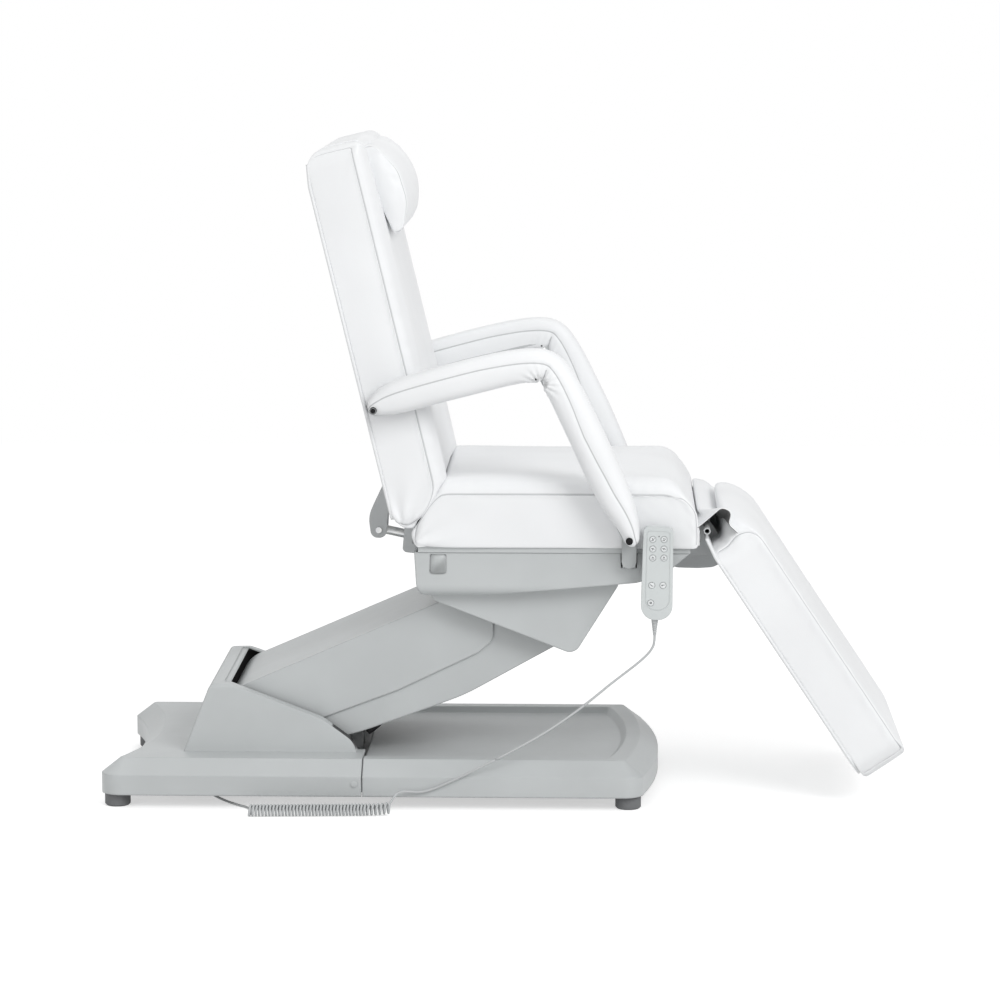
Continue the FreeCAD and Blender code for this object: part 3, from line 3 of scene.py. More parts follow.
import bmesh
import bpy
import numpy as np
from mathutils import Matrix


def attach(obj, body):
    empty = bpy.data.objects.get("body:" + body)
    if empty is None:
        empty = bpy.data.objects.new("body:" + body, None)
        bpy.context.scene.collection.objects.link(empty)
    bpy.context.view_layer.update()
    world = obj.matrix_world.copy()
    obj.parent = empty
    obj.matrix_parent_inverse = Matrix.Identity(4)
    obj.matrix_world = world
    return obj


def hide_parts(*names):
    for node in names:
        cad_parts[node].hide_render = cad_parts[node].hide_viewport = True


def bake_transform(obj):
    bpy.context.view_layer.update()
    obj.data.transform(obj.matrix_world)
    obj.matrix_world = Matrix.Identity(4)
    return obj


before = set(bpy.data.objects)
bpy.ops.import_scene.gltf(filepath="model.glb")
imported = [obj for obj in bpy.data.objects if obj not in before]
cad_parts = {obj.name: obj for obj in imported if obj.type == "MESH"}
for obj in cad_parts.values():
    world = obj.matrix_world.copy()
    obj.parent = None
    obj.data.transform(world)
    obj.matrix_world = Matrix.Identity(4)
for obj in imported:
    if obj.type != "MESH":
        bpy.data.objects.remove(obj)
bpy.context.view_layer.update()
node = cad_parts


# Studio: a long lens a little above the seat looks at the chair's near side.
# The floor is white paper that keeps a soft shadow; a large softbox stands in front to the right,
# a weaker one to the left and one hangs overhead.
class Socket:
    """One output of a material's nodes; arithmetic on it adds Math nodes."""

    def __init__(self, tree, out=None):
        self.tree = tree
        self.out = out

    def node(self, kind, inputs=(), settings=(), out=0):
        """Any node: its type, its socket values or links, and its settings, which are set first."""
        made = self.tree.nodes.new("ShaderNode" + kind)
        for name, value in dict(settings).items():
            if name == "stops":
                ramp = made.color_ramp.elements
                while len(ramp) < len(value):
                    ramp.new(0.5)
                for element, (place, colour) in zip(ramp, value):
                    element.position = place
                    element.color = colour
            else:
                setattr(made, name, value)
        for name, value in dict(inputs).items():
            if isinstance(value, Socket):
                self.tree.links.new(value.out, made.inputs[name])
            else:
                made.inputs[name].default_value = value
        return Socket(self.tree, made.outputs[out])

    def math(self, operation, *values):
        return self.node("Math", dict(enumerate(values)), {"operation": operation})

    def mix(self, factor, low, high):
        """A colour between two colours."""
        return self.node("Mix", {"Factor": factor, 6: low, 7: high}, {"data_type": "RGBA"}, 2)

    def step(self, low, high):
        """0 below low, 1 above high, and a smooth step between."""
        inputs = {"Value": self, "From Min": low, "From Max": high}
        return self.node("MapRange", inputs, {"interpolation_type": "SMOOTHSTEP"})

    def place(self):
        """The piece's own coordinates."""
        return self.node("TexCoord", out="Object")

    def axes(self):
        """The three parts of the piece's own coordinates."""
        parts = self.node("SeparateXYZ", {"Vector": self.place()}).out.node
        return [Socket(self.tree, out) for out in parts.outputs]

    def noise(self, scale, detail=2.0, **more):
        """Smooth noise over the piece, in swells of 1 / scale metres."""
        return self.node("TexNoise", {"Vector": self.place(), "Scale": scale, "Detail": detail, **more})

    def feed(self, shader, name):
        self.tree.links.new(self.out, shader.inputs[name])

    def __add__(self, other):
        return self.math("ADD", self, other)

    def __sub__(self, other):
        return self.math("SUBTRACT", self, other)

    def __rsub__(self, other):
        return self.math("SUBTRACT", other, self)

    def __mul__(self, other):
        return self.math("MULTIPLY", self, other)

    __radd__ = __add__
    __rmul__ = __mul__


def new_finish(name, **plain):
    """A material with one Principled shader, whose plain sockets have one value all over."""
    material = bpy.data.materials.new(name)
    material.use_nodes = True
    shader = material.node_tree.nodes["Principled BSDF"]
    for socket, value in plain.items():
        shader.inputs[socket.replace("_", " ")].default_value = value
    return material, Socket(material.node_tree), shader


def linked(piece):
    """Puts an object into the scene."""
    bpy.context.scene.collection.objects.link(piece)
    return piece


def direct_view(surface):
    """1 for rays that reach the eye straight, from a gloss or through a clear piece."""
    kinds = ("Is Camera Ray", "Is Glossy Ray", "Is Transmission Ray")
    camera_ray, glossy, clear = [surface.node("LightPath", out=kind) for kind in kinds]
    return surface.math("MAXIMUM", surface.math("MAXIMUM", camera_ray, glossy), clear)


photo_side = 1000
focal_pixels = 3600
sensor = 36
dip, turn_left = 0.1465, 0.03
camera = linked(bpy.data.objects.new("camera", bpy.data.cameras.new("camera")))
camera.data.sensor_width = sensor
camera.data.lens = focal_pixels / photo_side * sensor
camera.location = (0.1958, -6.9709, 1.582)
camera.rotation_euler = (math.pi / 2 - dip, 0, turn_left)
bpy.context.scene.camera = camera
bpy.context.scene.view_settings.view_transform = "Standard"

floor_reach, paper_glow = 5.0, 0.54
floor_corners = np.array([(-1, -1, 0), (1, -1, 0), (1, 1, 0), (-1, 1, 0)]) * floor_reach
floor_mesh = bpy.data.meshes.new("floor")
floor_mesh.from_pydata(floor_corners.tolist(), [], [(0, 1, 2, 3)])
floor = linked(bpy.data.objects.new("floor", floor_mesh))
paper, surface, shader = new_finish("white_paper", Roughness=1.0, Specular_IOR_Level=0.0)
shader.inputs["Base Color"].default_value = (0.8, 0.8, 0.8, 1)
shader.inputs["Emission Strength"].default_value = paper_glow
surface.mix(direct_view(surface), (0, 0, 0, 1), (1, 1, 1, 1)).feed(shader, "Emission Color")
floor_mesh.materials.append(paper)

ambient = 0.52
world = bpy.data.worlds.new("studio")
world.use_nodes = True
bpy.context.scene.world = world
background = world.node_tree.nodes["Background"]
background.inputs["Color"].default_value = (1, 1, 1, 1)
(ambient + (1 - ambient) * direct_view(Socket(world.node_tree))).feed(background, "Strength")


def softbox(name, place, target, size, power):
    """A square lamp turned to face a point."""
    lamp = bpy.data.lights.new(name, "AREA")
    lamp.size = size
    lamp.energy = power
    holder = linked(bpy.data.objects.new(name, lamp))
    holder.location = place
    aim = np.subtract(target, place)
    tip = math.atan2(math.hypot(aim[0], aim[1]), -aim[2])
    holder.rotation_euler = (tip, 0, math.atan2(aim[1], aim[0]) - math.pi / 2)


chair_middle = (0, 0, 0.5)
softbox("key_light", (2.72, -3.8, 3.42), chair_middle, 2.4, 138)
softbox("fill_light", (-3.2, -4.2, 2.0), chair_middle, 3.0, 35)
softbox("top_light", (-0.4, 0.6, 3.8), chair_middle, 3.0, 23)


# Base covers: two moulded shells of light grey ABS that meet at a split and are screwed to the
# frame from the sides, under round plugs. The mould leaves a fine sparked texture.
def toned(surface, colour, shares, scale, detail):
    """A slow drift of a colour between a deeper and a paler share of it."""
    tones = [tuple(min(1, share * c) for c in colour) + (1,) for share in shares]
    return surface.mix(surface.noise(scale, detail).step(0.3, 0.7), *tones)


def moulded(name, colour, roughness=0.42, texture=0.1, edge=0.0022, grain_scale=1100, gloss=0.45):
    """Moulded plastic or sprayed powder: fine noise for the skin, soft edges, a slow drift of
    tone, and faint scuffs that dull it."""
    material, surface, shader = new_finish(name, Specular_IOR_Level=gloss)
    grain = surface.noise(grain_scale)
    scuff = surface.noise(60.0, 6.0, Roughness=0.7)
    toned(surface, colour, (0.955, 1.03), 5.0, 3.0).feed(shader, "Base Color")
    (roughness - 0.05 + 0.07 * grain + 0.06 * scuff.step(0.45, 0.75)).feed(shader, "Roughness")
    soft = surface.node("Bevel", {"Radius": edge}, {"samples": 6})
    skin = {"Strength": texture, "Distance": 0.0006, "Height": grain, "Normal": soft}
    surface.node("Bump", skin).feed(shader, "Normal")
    return material


def paint(material, *names):
    """Puts a finish on CAD nodes whose shape stays as it is."""
    for name in names:
        node[name].data.materials.clear()
        node[name].data.materials.append(material)


mm = 0.001
middle_shift = -249.226


def to_frame(points):
    """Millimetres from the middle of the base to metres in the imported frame."""
    return (np.asarray(points, float) + (middle_shift, 0, 0)) * mm


def set_across(side_view, y):
    """Points (x, z) of the side view, each set at a distance y across the chair."""
    return np.stack(np.broadcast_arrays(side_view[..., 0], y, side_view[..., 1]), -1)


def grid_faces(rows, columns, start):
    """Four corners of each cell of a grid of rows by columns points."""
    index = np.arange(rows * columns).reshape(rows, columns) + start
    cells = [index[:-1, :-1], index[1:, :-1], index[1:, 1:], index[:-1, 1:]]
    return np.stack(cells, -1).reshape(-1, 4)


def outward(mesh):
    """Turns all faces to the outside and shades them smooth."""
    work = bmesh.new()
    work.from_mesh(mesh)
    bmesh.ops.recalc_face_normals(work, faces=work.faces)
    work.to_mesh(mesh)
    work.free()
    mesh.shade_smooth()


def solid(name, patches, values=(), caps=False):
    """One closed mesh from grids of points in metres whose borders coincide. Points that round to
    the same step are one. Values are point attributes of each grid, and caps close the first and
    last row of the first grid."""
    steps_per_metre = 2e5
    points = np.concatenate([patch.reshape(-1, 3) for patch in patches])
    sizes = [patch.shape[:2] for patch in patches]
    starts = np.cumsum([0] + [rows * columns for rows, columns in sizes])
    faces = np.concatenate([grid_faces(*size, start) for size, start in zip(sizes, starts)])
    keys = np.round(points * steps_per_metre).astype(np.int64)
    _, kept, joined = np.unique(keys, axis=0, return_index=True, return_inverse=True)
    joined = joined.reshape(-1)
    faces = joined[faces]
    ordered = np.sort(faces, 1)
    whole = (np.diff(ordered, axis=1) > 0).all(1)
    loops = faces[whole].tolist()
    if caps:
        rows, columns = sizes[0]
        last_row = (rows - 1) * columns
        loops += [joined[start:start + columns - 1].tolist() for start in (0, last_row)]
    mesh = bpy.data.meshes.new(name)
    mesh.from_pydata(points[kept].tolist(), [], loops)
    for key, parts in dict(values).items():
        layer = mesh.attributes.new(key, "FLOAT", "POINT")
        column = np.concatenate([part.ravel() for part in parts])[kept]
        layer.data.foreach_set("value", column.astype(np.float32))
    outward(mesh)
    return linked(bpy.data.objects.new(name, mesh))


def dressed(piece, material, body, slot, *nodes):
    """Finish, body and the CAD nodes that a piece stands for. A piece between two bodies has none of its own.
    The slot argument is not used."""
    piece.data.materials.append(material)
    if body:
        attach(piece, body)
    if nodes:
        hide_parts(*nodes)
    return piece


def turned(name, profile, centre, axis="y", steps=40, way=1, caps=True):
    """Lathe form: each (radius, along) of the profile is a ring about a line through the centre.
    Way is -1 where the profile points to the near side, and a closed profile has no caps."""
    radius, along = np.array(profile, float).T[:, :, None]
    angle = np.linspace(0, 2 * np.pi, steps + 1)
    across, over = radius * np.cos(angle), radius * np.sin(angle)
    along = way * along + 0 * angle
    rings = [across, along, over] if axis == "y" else [across, over, along]
    return solid(name, [to_frame(np.stack(rings, -1) + np.array(centre))], caps=caps)


cover_grey = (0.518, 0.539, 0.542)
cover_plastic = moulded("cover_plastic", cover_grey, edge=0.005)
paint(cover_plastic, "base_cover_front")
# Cover plastic with painted shade: black inside the hump, where the closed cavity lies in shade.
hump_shaded_plastic = moulded("hump_shaded_plastic", cover_grey, edge=0.005)
hump_half, hump_top, hump_draft, cover_wall = 211.2, 223.0, 0.05, 4.0
hump_rear, hump_slope = ((-367, 92), (-316, 222)), ((-278, 224), (-109, 156))
hump_shade_foot, hump_shade_black = (0.094, 0.098), (0.012, 0.012, 0.013, 1)


def hump_shade_mask(surface):
    """Painted shade inside the hump, black where its closed cavity lies in shade: how deep a point lies
    behind the nearest outer plane of the hump, rear, sides, top or slope, decides between the painted shade
    and the plastic."""
    x, y, z = surface.axes()
    from_side = hump_half * mm - hump_draft * z - surface.math("ABSOLUTE", y)
    depth = surface.math("MINIMUM", from_side, hump_top * mm - z)
    for (x0, z0), (x1, z1) in (hump_rear, hump_slope):
        run = math.hypot(x1 - x0, z1 - z0)
        across, over = (z1 - z0) / run, -(x1 - x0) / run
        at = to_frame((x0, 0, z0))
        depth = surface.math("MINIMUM", depth, across * x + over * z - (across * at[0] + over * at[2]))
    return depth.step(0.45 * cover_wall * mm, 0.8 * cover_wall * mm) * z.step(*hump_shade_foot)


def painted_over(material, mask, colour):
    """A second colour on a finish, where the mask made from the finish's own nodes is 1."""
    surface, shader = Socket(material.node_tree), material.node_tree.nodes["Principled BSDF"]
    skin = Socket(material.node_tree, shader.inputs["Base Color"].links[0].from_socket)
    surface.mix(mask(surface), skin, colour).feed(shader, "Base Color")
    return material


paint(painted_over(hump_shaded_plastic, hump_shade_mask, hump_shade_black), "base_cover_rear")
lip_section = [(-294, 219.6), (-279, 219.2), (-278, 220.6), (-279, 222), (-294, 222.6), (-294, 219.6)]
lip = set_across(np.array(lip_section), np.linspace(-188, 188, 9)[:, None])
dressed(solid("slot_lip", [to_frame(lip)], caps=True), cover_plastic, "base", "cover_grey")
plug_profile = [(0.2, 0.9), (4.0, 0.8), (6.2, 0.5), (6.9, 0.1), (7.1, -0.5), (7.4, -0.5), (7.8, 0.3)]
plug_profile += [(8.2, -3)]
plug_x, plug_y, plug_z = -33, 300, 50
sides = ((-1, "near"), (1, "far"))
for side, tag in sides:
    plug = turned("base_plug_" + tag, plug_profile, (plug_x, side * plug_y, plug_z), way=side)
    dressed(plug, cover_plastic, "base", "cover_grey")


# Rubber feet: grey moulded rubber on threaded studs, matt and a little dusty at the sole. They
# are screwed up into the base frame and level the chair.
foot_finish = moulded("foot_rubber", (0.17, 0.175, 0.18), 0.75, 0.3, 0.001, 700)
paint(foot_finish, "rubber_feet")


# Steel frames: welded tube and laser-cut plate with a light grey powder coat, whose skin has the orange peel
# of sprayed powder. The lugs beside the cushions are sprayed to match them; the seat's lugs get a grey darker
# than the housing, painted shade that tones down the stronger light on their upright faces.
def powder(name):
    """Light grey powder coat."""
    return moulded(name, (0.5, 0.515, 0.52), 0.45, 0.22, 0.0012, 420)


frames = ["base_frame", "lift_arm_beam", "parallel_link", "leg_frame", "handset_hook", "leg_hinge_tube"]
frames += ["armrest_%s_frame_%s" % (part, tag) for part in ("top", "front") for side, tag in sides]
paint(powder("powder_coat"), *frames)
cushion_edge = (0.2655, 0.2665)


def lug_mask(surface):
    """1 on the lugs, which stand out sideways past the edge of the cushions."""
    return surface.math("ABSOLUTE", surface.axes()[1]).step(*cushion_edge)


def read(rows, key, width=3):
    """One value of every point or face, as a row each."""
    values = np.zeros(len(rows) * width, np.float32)
    rows.foreach_get(key, values)
    return values.reshape(-1, width).astype(float)


def set_points(mesh, points):
    """Moves all points of a mesh."""
    mesh.vertices.foreach_set("co", points.astype(np.float32).ravel())
    mesh.update()


# The seat's lugs carry painted shade: a grey darker than the housing's, so that their brighter lit upright
# faces read as the housing.
paint(painted_over(powder("seat_lug_shade_paint"), lug_mask, (0.42, 0.437, 0.44, 1)), "seat_frame")
back_lug_paint = painted_over(powder("back_lug_paint"), lug_mask, (0.8, 0.81, 0.82, 1))
steel = node["back_frame"].data.copy()
work = bmesh.new()
work.from_mesh(steel)
bmesh.ops.remove_doubles(work, verts=work.verts, dist=1e-6)
work.to_mesh(steel)
work.free()
steel.materials.clear()
steel.shade_smooth()
steel.set_sharp_from_angle(angle=math.radians(30))
rear_bolt = np.array((9.7, 768.8))
lug_bolt = to_frame((rear_bolt[0], 0, rear_bolt[1]))
lug_inside, lug_radius = 0.269, 0.0172
points = read(steel.vertices, "co")
lug = np.abs(points[:, 1]) > lug_inside
arm = points[lug, ::2] - lug_bolt[::2]
pull = np.minimum(lug_radius / np.linalg.norm(arm, axis=1, keepdims=True), 1)
points[lug, ::2] = lug_bolt[::2] + arm * pull
set_points(steel, points)
back_steel = linked(bpy.data.objects.new("back_steel", steel))
dressed(back_steel, back_lug_paint, "backrest", "frame_grey", "back_frame")


# Pins and actuator rods: turned steel plated with bright zinc, with fine lines from the lathe. The
# pins sit in the bores of the frames, and the rods slide in the actuator tubes.
zinc, surface, shader = new_finish("zinc_plate", Metallic=1.0)
lines = surface.node("Mapping", {"Vector": surface.place(), "Scale": (900, 40, 900)})
streak = surface.node("TexNoise", {"Vector": lines})
cloud = surface.noise(90.0, 4.0)
surface.mix(cloud.step(0.35, 0.65), (0.55, 0.56, 0.57, 1), (0.68, 0.68, 0.66, 1)).feed(shader, "Base Color")
(0.2 + 0.2 * streak).feed(shader, "Roughness")
pins = ["base_pivot_pins", "seat_pivot_pins", "back_lever_pin", "leg_lever_pin"]
paint(zinc, *pins, "lift_actuator_rod", "back_actuator_rod", "leg_actuator_rod")


# Actuator housings and control box: black glass-filled nylon with a coarse spark finish. The
# housings hang on pins between the frames, and the box is screwed down inside the base.
motor_plastic = moulded("motor_plastic", (0.03, 0.03, 0.032), 0.5, 0.2)
paint(motor_plastic, "lift_actuator_tube", "back_actuator_tube", "leg_actuator_tube", "control_box")


# Arm covers and the housing under the seat: shells of the same grey as the base, clipped over
# the lifting arm and screwed up under the seat frame.
paint(cover_plastic, "arm_cover_upper", "arm_cover_lower", "seat_housing")
slot_middle, slot_half, wall_inside = (126.0, 467.7), (15.5, 18.5), -253.0
pocket_skin, floor_shrink, squareness = (0.12, 1.5), 0.35, 0.4


def pocket(depth, rings):
    """Blind pocket behind the finger slot: rounded squares that shrink towards its floor, with a
    second skin outside it."""
    t = np.linspace(0, 1, rings)
    inner = np.stack([1 - floor_shrink * t ** 3, wall_inside + depth * np.sin(t * np.pi / 2)], 1)
    inner = np.concatenate([inner, [(0.3, wall_inside + depth), (0.02, wall_inside + depth)]])
    outer = inner[::-1] + pocket_skin
    share, y = np.concatenate([inner, outer]).T[:, :, None]
    angle = np.linspace(0, 2 * np.pi, 49)
    circle = np.stack([np.cos(angle), np.sin(angle)], -1)
    square = np.sign(circle) * np.abs(circle) ** squareness
    return set_across(np.array(slot_middle) + np.array(slot_half) * share[..., None] * square, y)


finger_pocket = solid("finger_pocket", [to_frame(pocket(depth=16, rings=9))], caps=True)
dressed(finger_pocket, cover_plastic, "seat", "cover_grey")


# Seat board: plywood faced and edged in grey laminate, screwed on the seat frame; its edge shows
# as the top of the housing.
laminate = moulded("grey_laminate", cover_grey, 0.5, 0.15, 0.001, 500)
paint(laminate, "seat_board")


# Seat cushion: moulded foam in a white leatherette cover of two side panels and one long wrap.
# The panels are joined by plain seams, drawn tight over the board and stapled below.
stitch_length = 0.0045


def leatherette(name, colour, sewn):
    """Coated cloth: cells for the pebble, fine pores, slow creases. On a sewn piece the attribute seam holds
    the distance to a seam, which is sunk and darkened with painted shade, with a row of stitches beside it."""
    material, surface, shader = new_finish(name, Specular_IOR_Level=0.4, Sheen_Weight=0.04)
    cells = surface.node("TexVoronoi", {"Vector": surface.place(), "Scale": 620.0}, {"feature": "SMOOTH_F1"})
    pores = surface.noise(1500.0)
    creases = surface.noise(30.0, 4.0, Distortion=0.6)
    cover = toned(surface, colour, (0.97, 1.02), 4.0, 2.0)
    shine = 0.38 + 0.12 * cells + 0.08 * pores
    height = 0.5 * cells + 0.2 * pores + 0.3 * creases
    if sewn:
        named = [{"attribute_name": key} for key in ("seam", "run")]
        seam, run = [surface.node("Attribute", settings=key, out="Fac") for key in named]
        # Painted shade: the colour is darkened along the seam grooves, and along the crease under the armrest
        # bend that the sleeve adds to the seam distances.
        line = 1 - seam.step(0.0005, 0.002)
        row = seam.step(0.0034, 0.0039) * (1 - seam.step(0.0043, 0.0048))
        stitch = row * surface.math("SINE", run * (2 * math.pi / stitch_length)).step(-0.3, 0.3)
        cover = surface.mix(line * 0.5, cover, (0.22, 0.23, 0.24, 1))
        shine = shine + 0.2 * line
        height = height - 2.0 * line + 0.4 * stitch
    cover.feed(shader, "Base Color")
    shine.feed(shader, "Roughness")
    surface.node("Bump", {"Strength": 0.2, "Distance": 0.0006, "Height": height}).feed(shader, "Normal")
    return material


white_cover = leatherette("white_leatherette", (0.83, 0.84, 0.85), True)


def unit(vectors):
    """Vectors of the same directions, of length 1."""
    return vectors / np.linalg.norm(vectors, axis=-1, keepdims=True)


def rounded_outline(corners, steps=12):
    """Closed outline: each corner (x, z, r) is an arc of radius r between its two tangent points."""
    p = np.array(corners, float)
    corner, radius = p[:, :2], p[:, 2:]
    before = unit(np.roll(corner, 1, 0) - corner)
    after = unit(np.roll(corner, -1, 0) - corner)
    half = np.arccos(np.clip((before * after).sum(1, keepdims=True), -1, 1)) / 2
    centre = corner + unit(before + after) * radius / np.sin(half)
    first = corner + before * radius / np.tan(half) - centre
    last = corner + after * radius / np.tan(half) - centre
    turn = (np.pi - 2 * half)[:, None]
    t = np.linspace(0, 1, steps)[None, :, None]
    arcs = first[:, None] * np.sin((1 - t) * turn) + last[:, None] * np.sin(t * turn)
    return centre[:, None] + arcs / np.sin(turn)


def along_line(line):
    """Distance of each point from the start of its line."""
    return np.concatenate([[0], np.cumsum(np.linalg.norm(np.diff(line, axis=0), axis=1))])


def evenly(line, count):
    """count + 1 points at equal distances along a line."""
    far = along_line(line)
    at = np.linspace(0, far[-1], count + 1)
    return np.stack([np.interp(at, far, line[:, k]) for k in range(line.shape[1])], 1)


def rounded_line(corners, count):
    """count + 1 even points along an open line with round corners."""
    return evenly(rounded_outline(corners).reshape(-1, 2), count)


def panel_patch(corners, picks, cells):
    """Side panel: the four runs of the outline between the picked corners, and a sheet
    stretched between them whose rows and columns run from edge to edge."""
    arcs = rounded_outline(corners)
    line = arcs.reshape(-1, 2)
    steps = arcs.shape[1]
    marks = [pick * steps + steps // 2 for pick in picks]
    rear = evenly(line[marks[0]:marks[1] + 1], cells[1])
    top = evenly(line[marks[1]:marks[2] + 1], cells[0])
    front = evenly(line[marks[2]:marks[3] + 1], cells[1])[::-1]
    bottom = evenly(np.concatenate([line[marks[3]:], line[:marks[0] + 1]]), cells[0])[::-1]
    u = np.linspace(0, 1, cells[0] + 1)[:, None, None]
    w = np.linspace(0, 1, cells[1] + 1)[None, :, None]
    ruled = (1 - w) * bottom[:, None] + w * top[:, None] + (1 - u) * rear[None] + u * front[None]
    ends = (1 - u) * ((1 - w) * bottom[0] + w * top[0]) + u * ((1 - w) * bottom[-1] + w * top[-1])
    return ruled - ends


def round_plan(points, x_ends, half, radius):
    """Pulls the four plan corners in to a circle of the given radius."""
    x, y = points[..., 0], points[..., 1]
    past_x = np.maximum(np.maximum(x - (x_ends[1] - radius), (x_ends[0] + radius) - x), 0)
    past_y = np.maximum(np.abs(y) - (half - radius), 0)
    far = np.hypot(past_x, past_y)
    pull = np.where((past_x > 0) & (past_y > 0) & (far > radius), 1 - radius / np.maximum(far, 1e-9), 0)
    x = x - np.where(x > sum(x_ends) / 2, 1, -1) * past_x * pull
    return np.stack([x, y - np.sign(y) * past_y * pull, points[..., 2]], -1)


dished = [(0, 0.74), (0.5, 0.74), (0.64, 0.8), (0.76, 0.94), (0.85, 1), (0.89, 0.96), (0.93, 0.83)]
dished += [(0.96, 0.66), (0.985, 0.4), (1, 0)]
flat_topped = [(0, 1), (0.8, 1), (0.93, 0.83), (0.985, 0.4), (1, 0)]


def cushion_block(corners, picks, half, cells, crown, profile, plan_corner, drawn_in, still):
    """Padded block in millimetres: a side panel carried across from side to side. The profile,
    as (distance from the middle, share of the crown), shapes its top across; its long sides
    draw in between the corners, and its plan corners are round. Still names the faces that the
    board, the mitre or the strap keeps flat. Each point's values are its distance from the nearest
    seam, its run along it, and 1 on a face that is kept flat."""
    nx, ny, nz = cells
    panel = panel_patch(corners, picks, (nx, nz))
    u, w = np.linspace(0, 1, nx + 1), np.linspace(0, 1, nz + 1)
    spread = 1.35
    v = np.sin(np.linspace(-spread, spread, ny + 1)) / math.sin(spread)
    rise = np.interp(np.abs(v), *np.array(profile).T)
    x_ends = (panel[..., 0].min(), panel[..., 0].max())
    reach, depth = np.ptp(panel, axis=(0, 1))

    def place(iu, iv, iw):
        """Points for grid numbers along, across and up."""
        side = panel[iu, iw]
        drop = crown * (1 - rise[iv]) * w[iw] ** 4
        width = half - drawn_in * 4 * u[iu] * (1 - u[iu])
        points = np.stack([side[..., 0], v[iv] * width, side[..., 1] - drop], -1)
        return round_plan(points, x_ends, half, plan_corner)

    along, over, up = np.arange(nx + 1), np.arange(ny + 1), np.arange(nz + 1)
    from_end = np.minimum(u, 1 - u) * reach
    from_top = (1 - w) * depth
    from_side = (1 - np.abs(v)) * half
    run_u, run_w = u * reach, w * depth
    faces = [("side", (along[:, None], end, up)) for end in (0, ny)]
    faces += [(face, (along[:, None], over, end)) for face, end in (("foot", 0), ("top", nz))]
    faces += [(face, (end, over, up[:, None])) for face, end in (("rear", 0), ("front", nx))]
    faces.sort(key=lambda named: named[0] not in still)
    patches, values = [], {"seam": [], "run": [], "held": []}
    for face, numbers in faces:
        iu, iv, iw = np.broadcast_arrays(*numbers)
        seam = from_side[iv] + from_top[iw] * (face in ("foot", "top"))
        if face == "side":
            seam = np.minimum(from_end[iu], from_top[iw])
        patches.append(place(iu, iv, iw))
        values["seam"].append(mm * seam)
        values["run"].append(mm * (run_u[iu] + run_w[iw]))
        values["held"].append(0 * seam + (face in still))
    return patches, values


def tipped(points, tilt, hinge):
    """Turns local millimetres clockwise, seen from the near side, and sets them on a hinge."""
    c, s = math.cos(math.radians(tilt)), math.sin(math.radians(tilt))
    x, y, z = np.moveaxis(np.asarray(points, float), -1, 0)
    return to_frame(np.stack([x * c + z * s + hinge[0], y, -x * s + z * c + hinge[1]], -1))


def attribute(mesh, key):
    """A value of every point that was given to solid."""
    return read(mesh.attributes[key].data, "value", 1)[:, 0]


def hill(distance, width):
    """Bell: 1 at no distance, falling off over the width."""
    return np.exp(-(distance / width) ** 2)


def puff(piece, swell, pressure=4.0, frames=14):
    """Blows the cover up by cloth simulation with the faces held that stay flat. The result is
    scaled so that the fullest parts rise by swell, and it fades out towards the seams."""
    held, seam = attribute(piece.data, "held"), attribute(piece.data, "seam")
    group = piece.vertex_groups.new(name="held")
    group.add(np.flatnonzero(held > 0.5).tolist(), 1.0, "REPLACE")
    start = read(piece.data.vertices, "co")
    cloth = piece.modifiers.new("puff", "CLOTH")
    cloth.settings.quality = 4
    cloth.settings.use_pressure = True
    cloth.settings.uniform_pressure_force = pressure
    cloth.settings.effector_weights.gravity = 0
    cloth.settings.vertex_group_mass = "held"
    cloth.collision_settings.use_collision = False
    cloth.point_cache.frame_start = 1
    cloth.point_cache.frame_end = frames
    for step in range(1, frames + 1):
        bpy.context.scene.frame_set(step)
    swollen = piece.evaluated_get(bpy.context.evaluated_depsgraph_get())
    shift = read(swollen.data.vertices, "co") - start
    piece.modifiers.clear()
    piece.vertex_groups.clear()
    bpy.context.scene.frame_set(1)
    far = np.linalg.norm(shift, axis=1)
    fullest, most, at_seam, fade_width = 90, 1.3 * swell, 0.15, 0.02
    fade = at_seam + (1 - at_seam) * (1 - hill(seam, fade_width))
    shift *= (swell / np.percentile(far, fullest) * fade)[:, None]
    far = np.linalg.norm(shift, axis=1)
    shift *= (np.minimum(far, most) / np.maximum(far, 1e-9))[:, None]
    set_points(piece.data, start + shift)


def finer(piece):
    """One subdivision, made real."""
    subdivide = piece.modifiers.new("finer", "SUBSURF")
    subdivide.levels = subdivide.render_levels = 1
    shown = piece.evaluated_get(bpy.context.evaluated_depsgraph_get())
    coarse = piece.data
    piece.data = bpy.data.meshes.new_from_object(shown)
    piece.modifiers.clear()
    bpy.data.meshes.remove(coarse)
    piece.data.name = piece.name
    piece.data.shade_smooth()


def ripple(values, wave, seed):
    """A smooth random ripple from -1 to 1: five sines of unlike length added up."""
    chance = np.random.default_rng(seed)
    lengths = wave * chance.uniform(0.6, 1.7, 5)
    phases = chance.uniform(0, 2 * np.pi, 5)
    return np.sin(values[..., None] * 2 * np.pi / lengths + phases).sum(-1) / 5


def push_out(mesh, height):
    """Moves each point along the surface's own normal."""
    normal = read(mesh.vertices, "normal")
    set_points(mesh, read(mesh.vertices, "co") + normal * height[:, None])


def sew(piece, seed, depth=0.0016, lip=0.0012):
    """Sinks the seam line and puckers the cover beside it."""
    seam, run = attribute(piece.data, "seam"), attribute(piece.data, "run")
    groove_width, lip_place, lip_width, pucker_length = 0.003, 0.011, 0.009, 0.045
    pucker = hill(seam - lip_place, lip_width) * (0.6 + 0.7 * ripple(run, pucker_length, seed))
    push_out(piece.data, lip * pucker - depth * hill(seam, groove_width))


